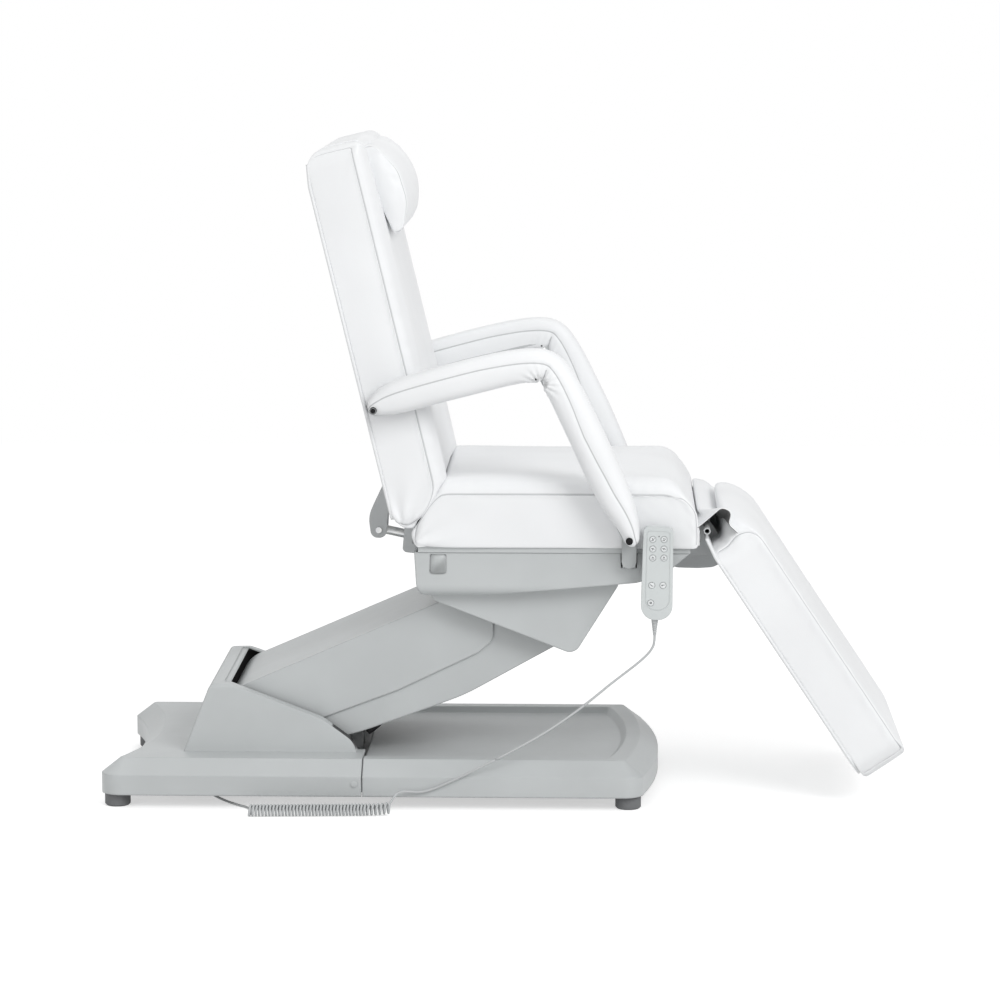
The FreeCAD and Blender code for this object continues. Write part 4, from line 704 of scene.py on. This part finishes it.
def gather(piece, corner, reach, depth, count, phase):
    """Gathers that fan out from a corner: a sine of the angle about it, fading with distance."""
    x, y, z = (read(piece.data.vertices, "co") - corner).T
    far = np.hypot(x, z)
    near = np.clip(1 - far / reach, 0, 1) ** 1.5 * np.clip(far / (0.2 * reach), 0, 1)
    near *= np.clip(1 - np.abs(y) / (0.5 * reach), 0, 1)
    push_out(piece.data, depth * near * np.sin(count * np.arctan2(z, x) + phase))


def upholstered(name, body, cad_node, block, tilt, hinge, swell, seed):
    """A padded piece in place of a CAD cushion: built, blown up, refined and sewn."""
    patches, values = block
    piece = solid(name, [tipped(patch, tilt, hinge) for patch in patches], values)
    puff(piece, swell)
    finer(piece)
    sew(piece, seed)
    return dressed(piece, white_cover, body, "leather_white", cad_node)


seat_datum = np.array((66.0, 502.0))
half_width, gather_side = 266.0, 268.0
seat_end, seat_top, seat_foot = 555.0, 129.0, -2.0
seat_corners = [
    (17, seat_foot, 9), (10, 26, 8), (73, seat_top, 10), (seat_end - 44, seat_top, 48),
    (seat_end - 6, seat_top - 62, 44), (seat_end + 1, 12, 8), (seat_end - 5, seat_foot, 4),
]
seat_block = cushion_block(
    seat_corners, (0, 2, 3, 6), half_width, cells=(74, 72, 18), crown=31, profile=dished,
    plan_corner=18, drawn_in=5, still=("foot", "rear"))
seat_pad = upholstered("seat_pad", "seat", "seat_cushion", seat_block, 0, seat_datum, swell=0.006, seed=11)
for side in (-1, 1):
    corner = to_frame((78, side * gather_side, 506))
    gather(seat_pad, corner, reach=0.15, depth=0.004, count=8, phase=0.4)


# Backrest cushion: the same build, longer, with a mitred foot that meets the seat. The cover is
# gathered at the two lower corners, where it is pulled round the foam, and a board faced with
# leatherette closes its back.
hinge = seat_datum + (0, 30)
back_tilt = 76.4
back_length, back_rear, back_top = 738.0, -17.0, 97.0
mitre = math.tan(math.radians(back_tilt / 2))
back_corners = [
    (-back_length, back_rear, 40), (-back_length, 80, 18), (-back_length + 13, back_top, 14),
    (3 - back_top * mitre, back_top, 10), (7, 8, 6), (-20, back_rear, 8),
]
back_patches, back_values = cushion_block(
    back_corners, (0, 2, 3, 5), half_width, cells=(96, 72, 16), crown=27, profile=dished,
    plan_corner=40, drawn_in=5, still=("foot", "rear", "front"))


def bowed(points, end, bow, reach, low, high):
    """One end of a cushion moved along it in the middle of its width. The shift fades towards the
    two sides, over reach along the cushion, and from the height high down to low."""
    x, y, z = np.moveaxis(points, -1, 0)
    share = np.clip(1 - np.abs(x - end) / reach, 0, 1) ** 2
    share *= 1 - np.clip(np.abs(y) / half_width, 0, 1) ** 4
    rise = np.clip((z - low) / (high - low), 0, 1)
    return np.stack([x + bow * share * rise * rise * (3 - 2 * rise), y, z], -1)


back_patches = [bowed(patch, -back_length, bow=8, reach=110, low=-60, high=-50) for patch in back_patches]
back_block = back_patches, back_values
back_pad = upholstered(
    "back_pad", "backrest", "back_cushion", back_block, back_tilt, hinge, swell=0.006, seed=23)
for side in (-1, 1):
    corner = to_frame((60, side * gather_side, 536))
    gather(back_pad, corner, reach=0.16, depth=0.004, count=9, phase=1.1)
board_cover = leatherette("board_leatherette", (0.8, 0.81, 0.82), False)
board_half, board_thick, board_drop = 262.0, 6.6, 2.9


def ribbon(line, half, thick, across=40):
    """Flat band in millimetres: a thin rounded section, half wide each way, carried along a
    line of the side view. Returns its grid, and distances from the long edge and along."""
    ahead = unit(np.gradient(line, axis=0))
    normal = np.stack([-ahead[:, 1], ahead[:, 0]], 1)[:, None]
    angle = np.linspace(0, np.pi, 7)
    flat = np.linspace(-half, half, across + 1)
    edge = half + thick / 2 * np.sin(angle)
    y = np.concatenate([flat, edge, flat[::-1], -edge, flat[:1]])
    up = thick / 2 * np.concatenate([1 + 0 * flat, np.cos(angle), -1 + 0 * flat, -np.cos(angle), [1.0]])
    side = line[:, None] + normal * up[None, :, None]
    points = set_across(side, y)
    from_edge = np.maximum(half - np.abs(y), 0) + 0 * side[..., 0]
    return points, from_edge, along_line(line)[:, None] + 0 * from_edge


def covered_board(name, body, cad_node, ends, level, tilt, hinge, corner):
    """Board under a cushion, wrapped in leatherette, between two ends of the side view. Its upper
    end is chamfered, so that it rises out of the cushion, and its lower corners are round."""
    chamfer, rise = 40, 6
    side_view = [(ends[0] - chamfer, level + rise), (ends[0], level), (ends[1], level)]
    line = evenly(np.array(side_view, float), 150)
    points = ribbon(line, board_half, board_thick)[0]
    past = np.clip((points[..., 0] - ends[1]) / corner + 1, 0, 1)
    points[..., 1] *= 1 - corner / board_half * (1 - np.sqrt(1 - past ** 2))
    board = solid(name, [tipped(points, tilt, hinge)], caps=True)
    dressed(board, board_cover, body, "board", cad_node)


back_level = back_rear - board_drop
covered_board("back_panel", "backrest", "back_board", (-672, -26), back_level, back_tilt, hinge, corner=6)


# Headrest pillow: a D-shaped roll of soft foam, sewn from a wrap and two end panels. Its lower
# edge stands a little off the backrest.
pillow_low = 87.0
pillow_shape = [(-719, 0, 3), (-719, 14, 6), (-712, 31, 24), (-660, 62, 66)]
pillow_shape += [(-598, 65, 70), (-549, 43, 28), (-544, 21, 8), (-628, 4, 70)]
pillow_corners = np.array(pillow_shape) + (0, pillow_low, 0)
domed = [(0, 1), (0.4, 0.97), (0.8, 0.8), (0.95, 0.6), (1, 0.5)]
pillow_block = cushion_block(
    pillow_corners, (0, 2, 5, 6), 198, cells=(34, 66, 8), crown=9, profile=domed,
    plan_corner=6, drawn_in=0, still=("foot",))
upholstered("pillow", "headrest", "headrest_pillow", pillow_block, back_tilt, hinge, swell=0.004, seed=31)


# Headrest strap: a doubled band of the same leatherette, sewn to the pillow and laid over the
# top of the backrest, where it grips by friction and the weight of its tail.
strap_half, strap_thick = 150.0, 3.0
strap_corners = [(-706, 92, 0), (-718, 91, 10), (-732.5, 76, 16), (-732.5, -24.9, 46), (-618.3, -24.9, 0)]
strap_line = rounded_line(strap_corners, 90)
points, from_edge, along = ribbon(strap_line, strap_half, strap_thick)


def hemmed(name, placed, from_edge, along, hem):
    """A band with a line of stitches along its edges, hem millimetres in."""
    groove = 1.5
    seam = np.abs(from_edge - hem) + groove
    return solid(name, [placed], {"seam": [mm * seam], "run": [mm * along]}, caps=True)


strap = hemmed("pillow_strap", tipped(points, back_tilt, hinge), from_edge, along, hem=6)
dressed(strap, white_cover, "headrest", "leather_white", "headrest_strap")
along.max() * mm


# Legrest cushion: a long block of foam with round far corners, covered like the seat. It is stapled
# to its own board, which hangs from the hinge tube.
leg_hinge = seat_datum + (568, 32.6)
leg_tilt = 56.3
leg_start, leg_end, leg_top, leg_rear = 31.0, 573.0, 83.5, -12.0
leg_corners = [(leg_start, leg_rear, 6), (leg_start + 2, leg_top, 46)]
leg_corners += [(leg_end, leg_top, 14), (leg_end, leg_rear, 8)]
leg_patches, leg_values = cushion_block(
    leg_corners, (0, 1, 2, 3), half_width, cells=(72, 72, 14), crown=5.5, profile=flat_topped,
    plan_corner=54, drawn_in=5, still=("foot",))
leg_block = [bowed(patch, leg_start, bow=-50, reach=95, low=12, high=40) for patch in leg_patches], leg_values
upholstered("leg_pad", "legrest", "leg_cushion", leg_block, leg_tilt, leg_hinge, swell=0.003, seed=37)
leg_level = leg_rear - board_drop
covered_board("leg_panel", "legrest", "leg_board", (52, 559), leg_level, leg_tilt, leg_hinge, corner=46)


# Hinge flap: a sheet of leatherette that bridges the gap between seat and legrest, tacked under
# both cushions. Its grey cloth backing shows at the open ends.
backing_cloth, surface, shader = new_finish("backing_cloth", Roughness=0.9)
weave = surface.node("TexChecker", {"Vector": surface.place(), "Scale": 1400.0}, out="Fac")
toned(surface, (1, 1, 1), (0.17, 0.26), 25.0, 4.0).feed(shader, "Base Color")
surface.node("Bump", {"Strength": 0.3, "Distance": 0.0003, "Height": weave}).feed(shader, "Normal")
flap_half, flap_thick = 260.0, 2.2
flap_corners = [(-18, 6, 0), (-10, 12, 8), (27, 43, 12), (46, 35, 10), (40, 12, 12), (58, -4, 0)]
flap_line = rounded_line(flap_corners, 60) + leg_hinge
points, from_edge, along = ribbon(flap_line, flap_half, flap_thick, 90)
slack = np.sin(np.pi * along / along.max()) ** 2
sink_back, sink_down, sink_run = 38, 18, 70
wave_rise, wave_length, edge_rise, edge_run = 1.4, 210.0, 1.6, 22
sunk = 1 - hill(np.maximum(points[..., 1] + flap_half, 0), sink_run)
waves = wave_rise * ripple(points[..., 1], wave_length, 5) + edge_rise * hill(from_edge, edge_run)
points[..., 0] -= sink_back * slack * sunk
points[..., 2] += slack * (waves - sink_down * sunk)
flap = hemmed("hinge_flap_cover", to_frame(points), from_edge, along, hem=5)
dressed(flap, white_cover, None, "leather_white", "hinge_flap")
flap.data.materials.append(backing_cloth)
under_flap = to_frame((leg_hinge[0] + 20, 0, leg_hinge[1] + 2))
facing, middle = (read(flap.data.polygons, key)[:, ::2] for key in ("normal", "center"))
turned_in = 0.002
inside = (facing * (under_flap[::2] - middle)).sum(1) > turned_in
flap.data.polygons.foreach_set("material_index", inside.astype(np.int32))
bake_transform(flap)


# Armrests: one padded sleeve on each side, sewn from a top wrap and a lower panel, pulled over
# two steel links. It tapers to the bolts at both ends and is gathered in under the bend, where a
# small black rivet holds the gathers.
bend, front_bolt = np.array([(320.0, 849.0), (487.3, 525.1)])
outer_marks = np.concatenate([
    rear_bolt + [(-14, 3), (-9, 22), (23.3, 50)],
    bend + [(-207, -5), (-105, 21), (-30, 35), (20, 33), (58, 2), (124, -128)],
    front_bolt + [(2.7, 89.9), (20, 30), (19, -6)],
])
inner_marks = np.concatenate([
    rear_bolt + [(-10, -6), (2, -11), (40, -10), (110, 8)],
    bend + [(-60, -35), (-20, -28.5), (4, -26), (7, -40), (37, -101)],
    front_bolt + [(-63.3, 73.9), (-19, 17), (-6, -11), (8, -17)],
])


def corner_cut(marks, rounds=4):
    """Smooth line: each round cuts every corner at a quarter and three quarters of its sides."""
    for _ in range(rounds):
        near, far = 0.75 * marks[:-1] + 0.25 * marks[1:], 0.25 * marks[:-1] + 0.75 * marks[1:]
        middle = np.stack([near, far], 1).reshape(-1, marks.shape[1])
        marks = np.concatenate([marks[:1], middle[1:-1], marks[-1:]])
    return marks


def split_evenly(line, at, counts):
    """A line resampled in two halves that meet at its point nearest to a mark."""
    mid = np.linalg.norm(line - at, axis=1).argmin()
    return np.concatenate([evenly(line[:mid + 1], counts[0])[:-1], evenly(line[mid:], counts[1])])


rear_cells, front_cells = 76, 84
outer_edge = split_evenly(corner_cut(outer_marks), bend + (24, 28), (rear_cells, front_cells))
inner_edge = split_evenly(corner_cut(inner_marks), bend + (2, -29), (rear_cells, front_cells))
sleeve_middle, sleeve_half, sleeve_face, inner_reach = 306.0, 30.0, 330.0, 2.0
tip_round, tip_left, taper, taper_left = 9.0, 0.03, 70.0, 0.72
outer_power, inner_power = 0.8, 0.42
seam_stations = [0, 0.3, 0.48, 0.68, 0.85, 1]
seam_heights = [0.25, 0.26, 0.14, -0.06, 0.04, 0.28]
half_ring = 32
uneven, uneven_length, uneven_slant = 0.012, 120.0, 25.0
crease_depth, crease_width, crease_fade = 0.13, 5.0, 40.0
bulge, bulge_place, bulge_width = 0.05, 18.0, 12.0
fold_depth, fold_length, fold_clear, fold_reach = 0.075, 13.0, 7.0, 30.0
fold_top, fold_fade, fold_sway, sways = 0.32, 0.3, 0.8, 3


def sleeve(side):
    """Padded tube: a rounded box section stands between the inner and the outer edge of the side view at each
    station. It closes at both ends, and folds and a crease draw it in at the bend; the crease is also
    darkened with painted shade, through the seam values."""
    middle, half = (outer_edge + inner_edge) / 2, (outer_edge - inner_edge) / 2
    along = along_line(middle)
    from_bend = (along - along[rear_cells])[:, None]
    from_tip = np.minimum(along, along[-1] - along)
    close = np.sqrt(1 - (1 - np.clip(from_tip / tip_round, 0, 1)) ** 2)[:, None]
    close = close * (1 - tip_left) + tip_left
    share = taper_left + (1 - taper_left) * np.sqrt(np.clip(from_tip / taper, 0, 1))
    width = sleeve_half * share[:, None] * close
    seam_turn = np.arcsin(np.interp(along / along[-1], seam_stations, seam_heights))[:, None]
    turn = np.linspace(0, 1, half_ring + 1)
    outer_half = seam_turn + (np.pi - 2 * seam_turn) * turn
    inner_half = np.pi - seam_turn + (np.pi + 2 * seam_turn) * turn
    angle = np.concatenate([outer_half, inner_half[:, 1:]], 1)
    cosine, sine = np.cos(angle), np.sin(angle)
    over = np.sign(sine) * np.abs(sine) ** outer_power
    inside = -np.abs(cosine) ** inner_power * (1 + inner_reach / sleeve_half)
    out = np.where(cosine < 0, inside, np.abs(cosine) ** outer_power)
    below = np.clip((fold_top - over) / fold_fade, 0, 1)
    pinch = bulge * hill(np.abs(from_bend) - bulge_place, bulge_width)
    pinch = pinch - crease_depth * hill(from_bend, crease_width)
    folds = np.sin(2 * np.pi * from_bend / fold_length + fold_sway * np.sin(sways * angle))
    folds *= hill(from_bend, fold_reach) * (1 - hill(from_bend, fold_clear))
    swell = 1 + below * (pinch + fold_depth * folds)
    slow = 1 + uneven * ripple(along[:, None] + uneven_slant * cosine, uneven_length, 7)
    side_view = middle[:, None] + half[:, None] * (over * swell * slow * close)[..., None]
    points = set_across(side_view, side * (sleeve_middle + width * out * (0.5 + 0.5 * swell) * slow))
    steps = np.linalg.norm(np.diff(points, axis=1), axis=-1)
    girth = np.pad(np.cumsum(steps, 1), ((0, 0), (1, 0)))
    seam = np.minimum(np.minimum(girth, girth[:, -1:] - girth), np.abs(girth - girth[:, [half_ring]]))
    # The crease joins the seam distances, so the material paints shade along it.
    shaded_crease = np.abs(from_bend) + crease_fade * np.clip(over + 0.05, 0, 1)
    return points, {"seam": [mm * np.minimum(seam, shaded_crease)], "run": [mm * (along[:, None] + 0 * girth)]}


towards_rear, towards_front = unit(rear_bolt - bend), unit(front_bolt - bend)
cap_plastic = moulded("cap_plastic", (0.008, 0.008, 0.009), 0.5, 0.05, 0.0008, gloss=0.15)
rivet_profile = [(0.2, 1.6), (1.2, 1.4), (2.1, 0.8), (2.6, 0), (2.6, -6)]
rivet_spot = bend + (-6.5, -22.0)
give_reach = 45
for side, tag in sides:
    points, values = sleeve(side)
    cover = solid("armrest_sleeve_" + tag, [to_frame(points)], values, caps=True)
    finer(cover)
    sew(cover, seed=41, depth=0.001, lip=0.0008)
    corner = to_frame((bend[0] + 1, side * sleeve_face, bend[1] - 29))
    gather(cover, corner, reach=0.052, depth=0.0032, count=15, phase=0.7)
    pads = ["armrest_%s_pad_%s" % (part, tag) for part in ("top", "front")]
    dressed(cover, white_cover, None, "leather_white", *pads)
    ends = [bend + give_reach * way for way in (towards_front, towards_rear)]
    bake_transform(cover)
    for way, face in ((side, "outer_"), (-side, "inner_")):
        flank = points[way * (points[..., 1] - side * sleeve_middle) > 0]
        spot = flank[np.linalg.norm(flank[:, ::2] - rivet_spot, axis=1).argmin()]
        rivet = turned("sleeve_rivet_" + face + tag, rivet_profile, spot, steps=24, way=way)
        dressed(rivet, cap_plastic, None, "cap_black")
        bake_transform(rivet)


# Armrest bolts: blackened steel bolts through both ends of each sleeve, which the armrest turns on.
# Black nylon caps are pressed over their heads.
paint(cap_plastic, "armrest_bolts")
cap_profile = [(0.2, 3.4), (2.6, 3.2), (4.4, 2.5), (5.6, 1.4), (6.3, 0), (6.8, -1.4), (6.8, -8)]
cap_seat = 336
for side, tag in sides:
    for end, bolt, body in (("rear_", rear_bolt, "arm_top_" + tag), ("front_", front_bolt, "seat")):
        seat = (bolt[0], side * cap_seat, bolt[1])
        dressed(turned("arm_cap_" + end + tag, cap_profile, seat, way=side), cap_plastic, body, "cap_black")


# Handset: a moulded case of two shells with nine round keys, hung on a hook plate at the side of
# the seat. A raised bead frames the keypad and each key sits in a thin ring.
case_plastic = moulded("case_plastic", (0.585, 0.615, 0.615), 0.38, 0.08, 0.0018)
paint(case_plastic, "handset_front", "handset_back", "cord_gland")
key_plastic = moulded("key_plastic", (0.72, 0.74, 0.745), 0.35, 0.05, 0.0006)
mark_ink = moulded("mark_ink", (0.07, 0.075, 0.08), 0.5, 0.05, 0.0001)
handset = np.array((542.0, 460.0))
case_front, key_front, bead_radius = -305.0, -306.2, 0.9
bead_corners = [(-21, 81, 6), (22, 79, 6), (21, -70, 20), (-24, -70, 20)]


def bead(line, radius, y):
    """A round bead along a closed line of the case front, half sunk in it."""
    line = np.concatenate([line, line[:1]])
    ahead = unit(np.roll(line, -1, 0) - np.roll(line, 1, 0) + 1e-9)
    ahead[0] = ahead[-1] = unit(line[1] - line[-2])
    normal = np.stack([-ahead[:, 1], ahead[:, 0]], 1)[:, None]
    angle = np.linspace(0, 2 * np.pi, 9)
    flat = line[:, None] + normal * (radius * np.cos(angle))[None, :, None]
    return set_across(flat, y - radius * 0.7 * np.sin(angle))


panel_line = rounded_line(bead_corners, 160)[:-1] + handset
panel_bead = solid("keypad_bead", [to_frame(bead(panel_line, bead_radius, case_front))])
dressed(panel_bead, case_plastic, "handset", "handset_grey")
stroke, ink_proud, ink_sunk = 1.15, 0.06, 0.4
back_sign = [(-2.4, -2.0), (0.6, -2.0), (-1.2, 2.2)]
leg_sign = [(-2.6, 1.0), (0.4, 1.0), (2.6, -0.6)]
ground = [(-2.4, -2.0), (2.4, -2.0)]
key_marks = {
    "back_up": ((-10.5, 64.6), [back_sign, [(1.2, 0.4), (2.6, 1.8)]]),
    "back_down": ((10.5, 64.6), [back_sign, [(1.2, 1.8), (2.6, 0.4)]]),
    "leg_up": ((-10.5, 46.6), [leg_sign, [(-1.4, -1.8), (0.4, -0.8)]]),
    "leg_down": ((10.5, 46.6), [leg_sign, [(-1.4, -0.8), (0.4, -1.8)]]),
    "lift_up": ((-10.5, 29.5), [ground, [(-1.4, 0.2), (0, 2.0), (1.4, 0.2)]]),
    "lift_down": ((10.5, 29.5), [ground, [(-1.4, 2.0), (0, 0.2), (1.4, 2.0)]]),
    "memory_one": ((-12, -22.5), [[(-2.4, 1.6), (-0.4, -1.0), (2.4, -1.6)]]),
    "memory_two": ((9, -22.5), [[(-2.6, 0.6), (2.6, 0.6)], [(-2.6, -0.8), (-1.0, -0.8)]]),
    "stop": ((-13.8, -56), [[(-1.4, -1.4), (1.4, -1.4), (1.4, 1.4), (-1.4, 1.4), (-1.4, -1.4)]]),
}


def stroke_mark(start, end, centre):
    """A printed stroke: a thin bar with round ends on the key's face."""
    start, end = np.array(start, float), np.array(end, float)
    way = unit(end - start)
    facing = math.atan2(way[1], way[0])
    turn = np.linspace(-np.pi / 2, np.pi / 2, 7)
    half_round = stroke / 2 * np.stack([np.cos(facing + turn), np.sin(facing + turn)], 1)
    rim = np.concatenate([end + half_round, start - half_round, end + half_round[:1]]) + centre
    return set_across(rim, np.array([key_front - ink_proud, key_front + ink_sunk])[:, None])


ring_profile = [(5.75, 0.3), (5.9, -0.35), (6.3, -0.45), (6.7, -0.25), (6.8, 0.3), (5.75, 0.3)]
for key, (spot, lines) in key_marks.items():
    centre = handset + spot
    paint(key_plastic, "key_" + key)
    strokes = [ends for line in lines for ends in zip(line, line[1:])]
    for number, (start, end) in enumerate(strokes):
        mark = solid("mark_%s_%d" % (key, number), [to_frame(stroke_mark(start, end, centre))], caps=True)
        dressed(mark, mark_ink, "key_" + key, "cap_black")
    collar = turned("key_ring_" + key, ring_profile, (centre[0], case_front, centre[1]), caps=False)
    dressed(collar, case_plastic, "handset", "handset_grey")
lamp_profile = [(0.1, -0.5), (0.7, -0.4), (1.1, -0.1), (1.2, 0.4)]
lamp = turned("status_lamp", lamp_profile, (handset[0] + 1, case_front, handset[1] + 70))
dressed(lamp, mark_ink, "handset", "cap_black")


# Strain relief: a ribbed sleeve of soft vinyl, moulded on the cord where it leaves the handset. Its
# head is clamped between the two shells of the case.
cord_finish = moulded("cord_jacket", (0.5, 0.515, 0.52), 0.5, 0.05, 0.0003)
relief_place = (536.0, -293.0, 339.0)
relief_profile = [(0.2, 33.5), (6.2, 33.5), (6.2, 28)]
ribs, rib_pitch, rib_taper = 6, 4.4, 0.5
for rib in range(ribs):
    low, wide = 26.5 - rib_pitch * rib, 5.9 - rib_taper * rib
    relief_profile += [(wide, low), (wide, low - 2.6), (wide - 1.3, low - 3.0), (wide - 1.3, low - 4.0)]
relief_profile += [(2.6, 0), (0.2, 0)]
relief = turned("ribbed_relief", relief_profile, relief_place, "z")
dressed(relief, cord_finish, "handset", "cord_grey", "cord_strain_relief")


# Handset cord: a curly lead in a grey vinyl jacket. It leaves a gland under the base, lies on the floor as a
# tight curl, and climbs in a long sag to the handset. The climb is in three lengths.
cord_width = 0.0046
tight_turns, loose_turns, all_turns, turn_points = 35, 6, 40.5, 16
curl, tight_pitch, loose_pitch, loose_rise = 9.7, 6.35, 8.0, 0.12
curl_start, curl_drift, cord_low = (-227, -358), 15, 2.5


def curl_line(turn):
    """Helix in millimetres: it winds along X on the floor, and loosens and rises over its last turns."""
    loose = np.maximum(turn - tight_turns, 0)
    x = curl_start[0] + np.minimum(turn, tight_turns) * tight_pitch + loose * loose_pitch
    y = curl_start[1] + curl_drift * turn / (tight_turns + loose_turns)
    z = cord_low + curl + loose_rise * loose ** 2
    wide = curl / math.cos(math.pi / turn_points)
    return np.stack([x, y - wide * np.sin(2 * np.pi * turn), z - curl * np.cos(2 * np.pi * turn)], -1)


def route_curve(name, placed, steps):
    """A smooth spline with the route's points, in metres, as its control points."""
    curve = bpy.data.curves.new(name, "CURVE")
    curve.dimensions = "3D"
    spline = curve.splines.new("NURBS")
    spline.points.add(len(placed) - 1)
    spline.points.foreach_set("co", np.concatenate([placed, np.ones((len(placed), 1))], 1).ravel())
    spline.order_u = 3
    spline.use_endpoint_u = True
    spline.resolution_u = steps
    return bpy.data.objects.new(name, curve)


lead = [(-386, -190, 45), (-372, -190, 45), (-356, -196, 40), (-341, -207, 32), (-326, -222, 23)]
lead += [(-307, -240, 14), (-284, -256, 7), (-258, -272, 2.5), (-238, -290, 2.5), (-226, -314, 2.5)]
lead += [(-226, -339, 2.5)]
curls = curl_line(np.linspace(0, all_turns, int(all_turns * turn_points) + 1))
placed = to_frame([*lead, *curls])
cord = linked(route_curve("base_cord", placed, 4))
cord.data.bevel_depth = cord_width / 2
cord.data.bevel_resolution = 3
dressed(cord, cord_finish, "base", "cord_grey", "cord_floor_lead", "cord_coil")


def route_line(points):
    """Points read along the smooth spline of a route in millimetres, in metres."""
    route = route_curve("route", to_frame(points), 12)
    traced = bpy.data.meshes.new_from_object(route)
    line = read(traced.vertices, "co")
    bpy.data.meshes.remove(traced)
    bpy.data.curves.remove(route.data)
    return line


def slack_cord(name, path, cad_node):
    """Tube about a line in metres: rings square to it, on two directions that are square to the line and to
    each other."""
    ahead = unit(np.gradient(path, axis=0))
    over = unit(np.cross(ahead, (0, 1, 0)))
    angle = np.linspace(0, 2 * np.pi, 17)[:, None]
    ring = np.cos(angle) * over[:, None] + np.sin(angle) * np.cross(ahead, over)[:, None]
    cord = solid(name, [path[:, None] + cord_width / 2 * ring], caps=True)
    dressed(cord, cord_finish, None, "cord_grey", cad_node)
    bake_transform(cord)


climb = [curls[-1], (47, -331, 36.5), (53, -321, 39), (64, -310, 40)]
climb += [(98, -305, 36), (134, -306, 50), (182, -306, 73), (236, -305, 101)]
slack_cord("rising_cord", route_line(climb), "cord_rise")
hanging = [(536, -293, 339), (536, -293, 325), (530.3, -293, 312.2), (520, -294, 300), (498, -296, 281)]
hanging += [(455.9, -298, 249), (406.1, -300, 206.9), (350, -302, 166), (293.9, -304, 131.9)]
hanging += [(236, -305, 101)]
sag = route_line(hanging[::-1])
half_way = np.searchsorted(along_line(sag), along_line(sag)[-1] / 2)
slack_cord("sagging_cord", sag[:half_way + 1], "cord_hanging")
slack_cord("hand_cord", sag[half_way:], "cord_hanging")
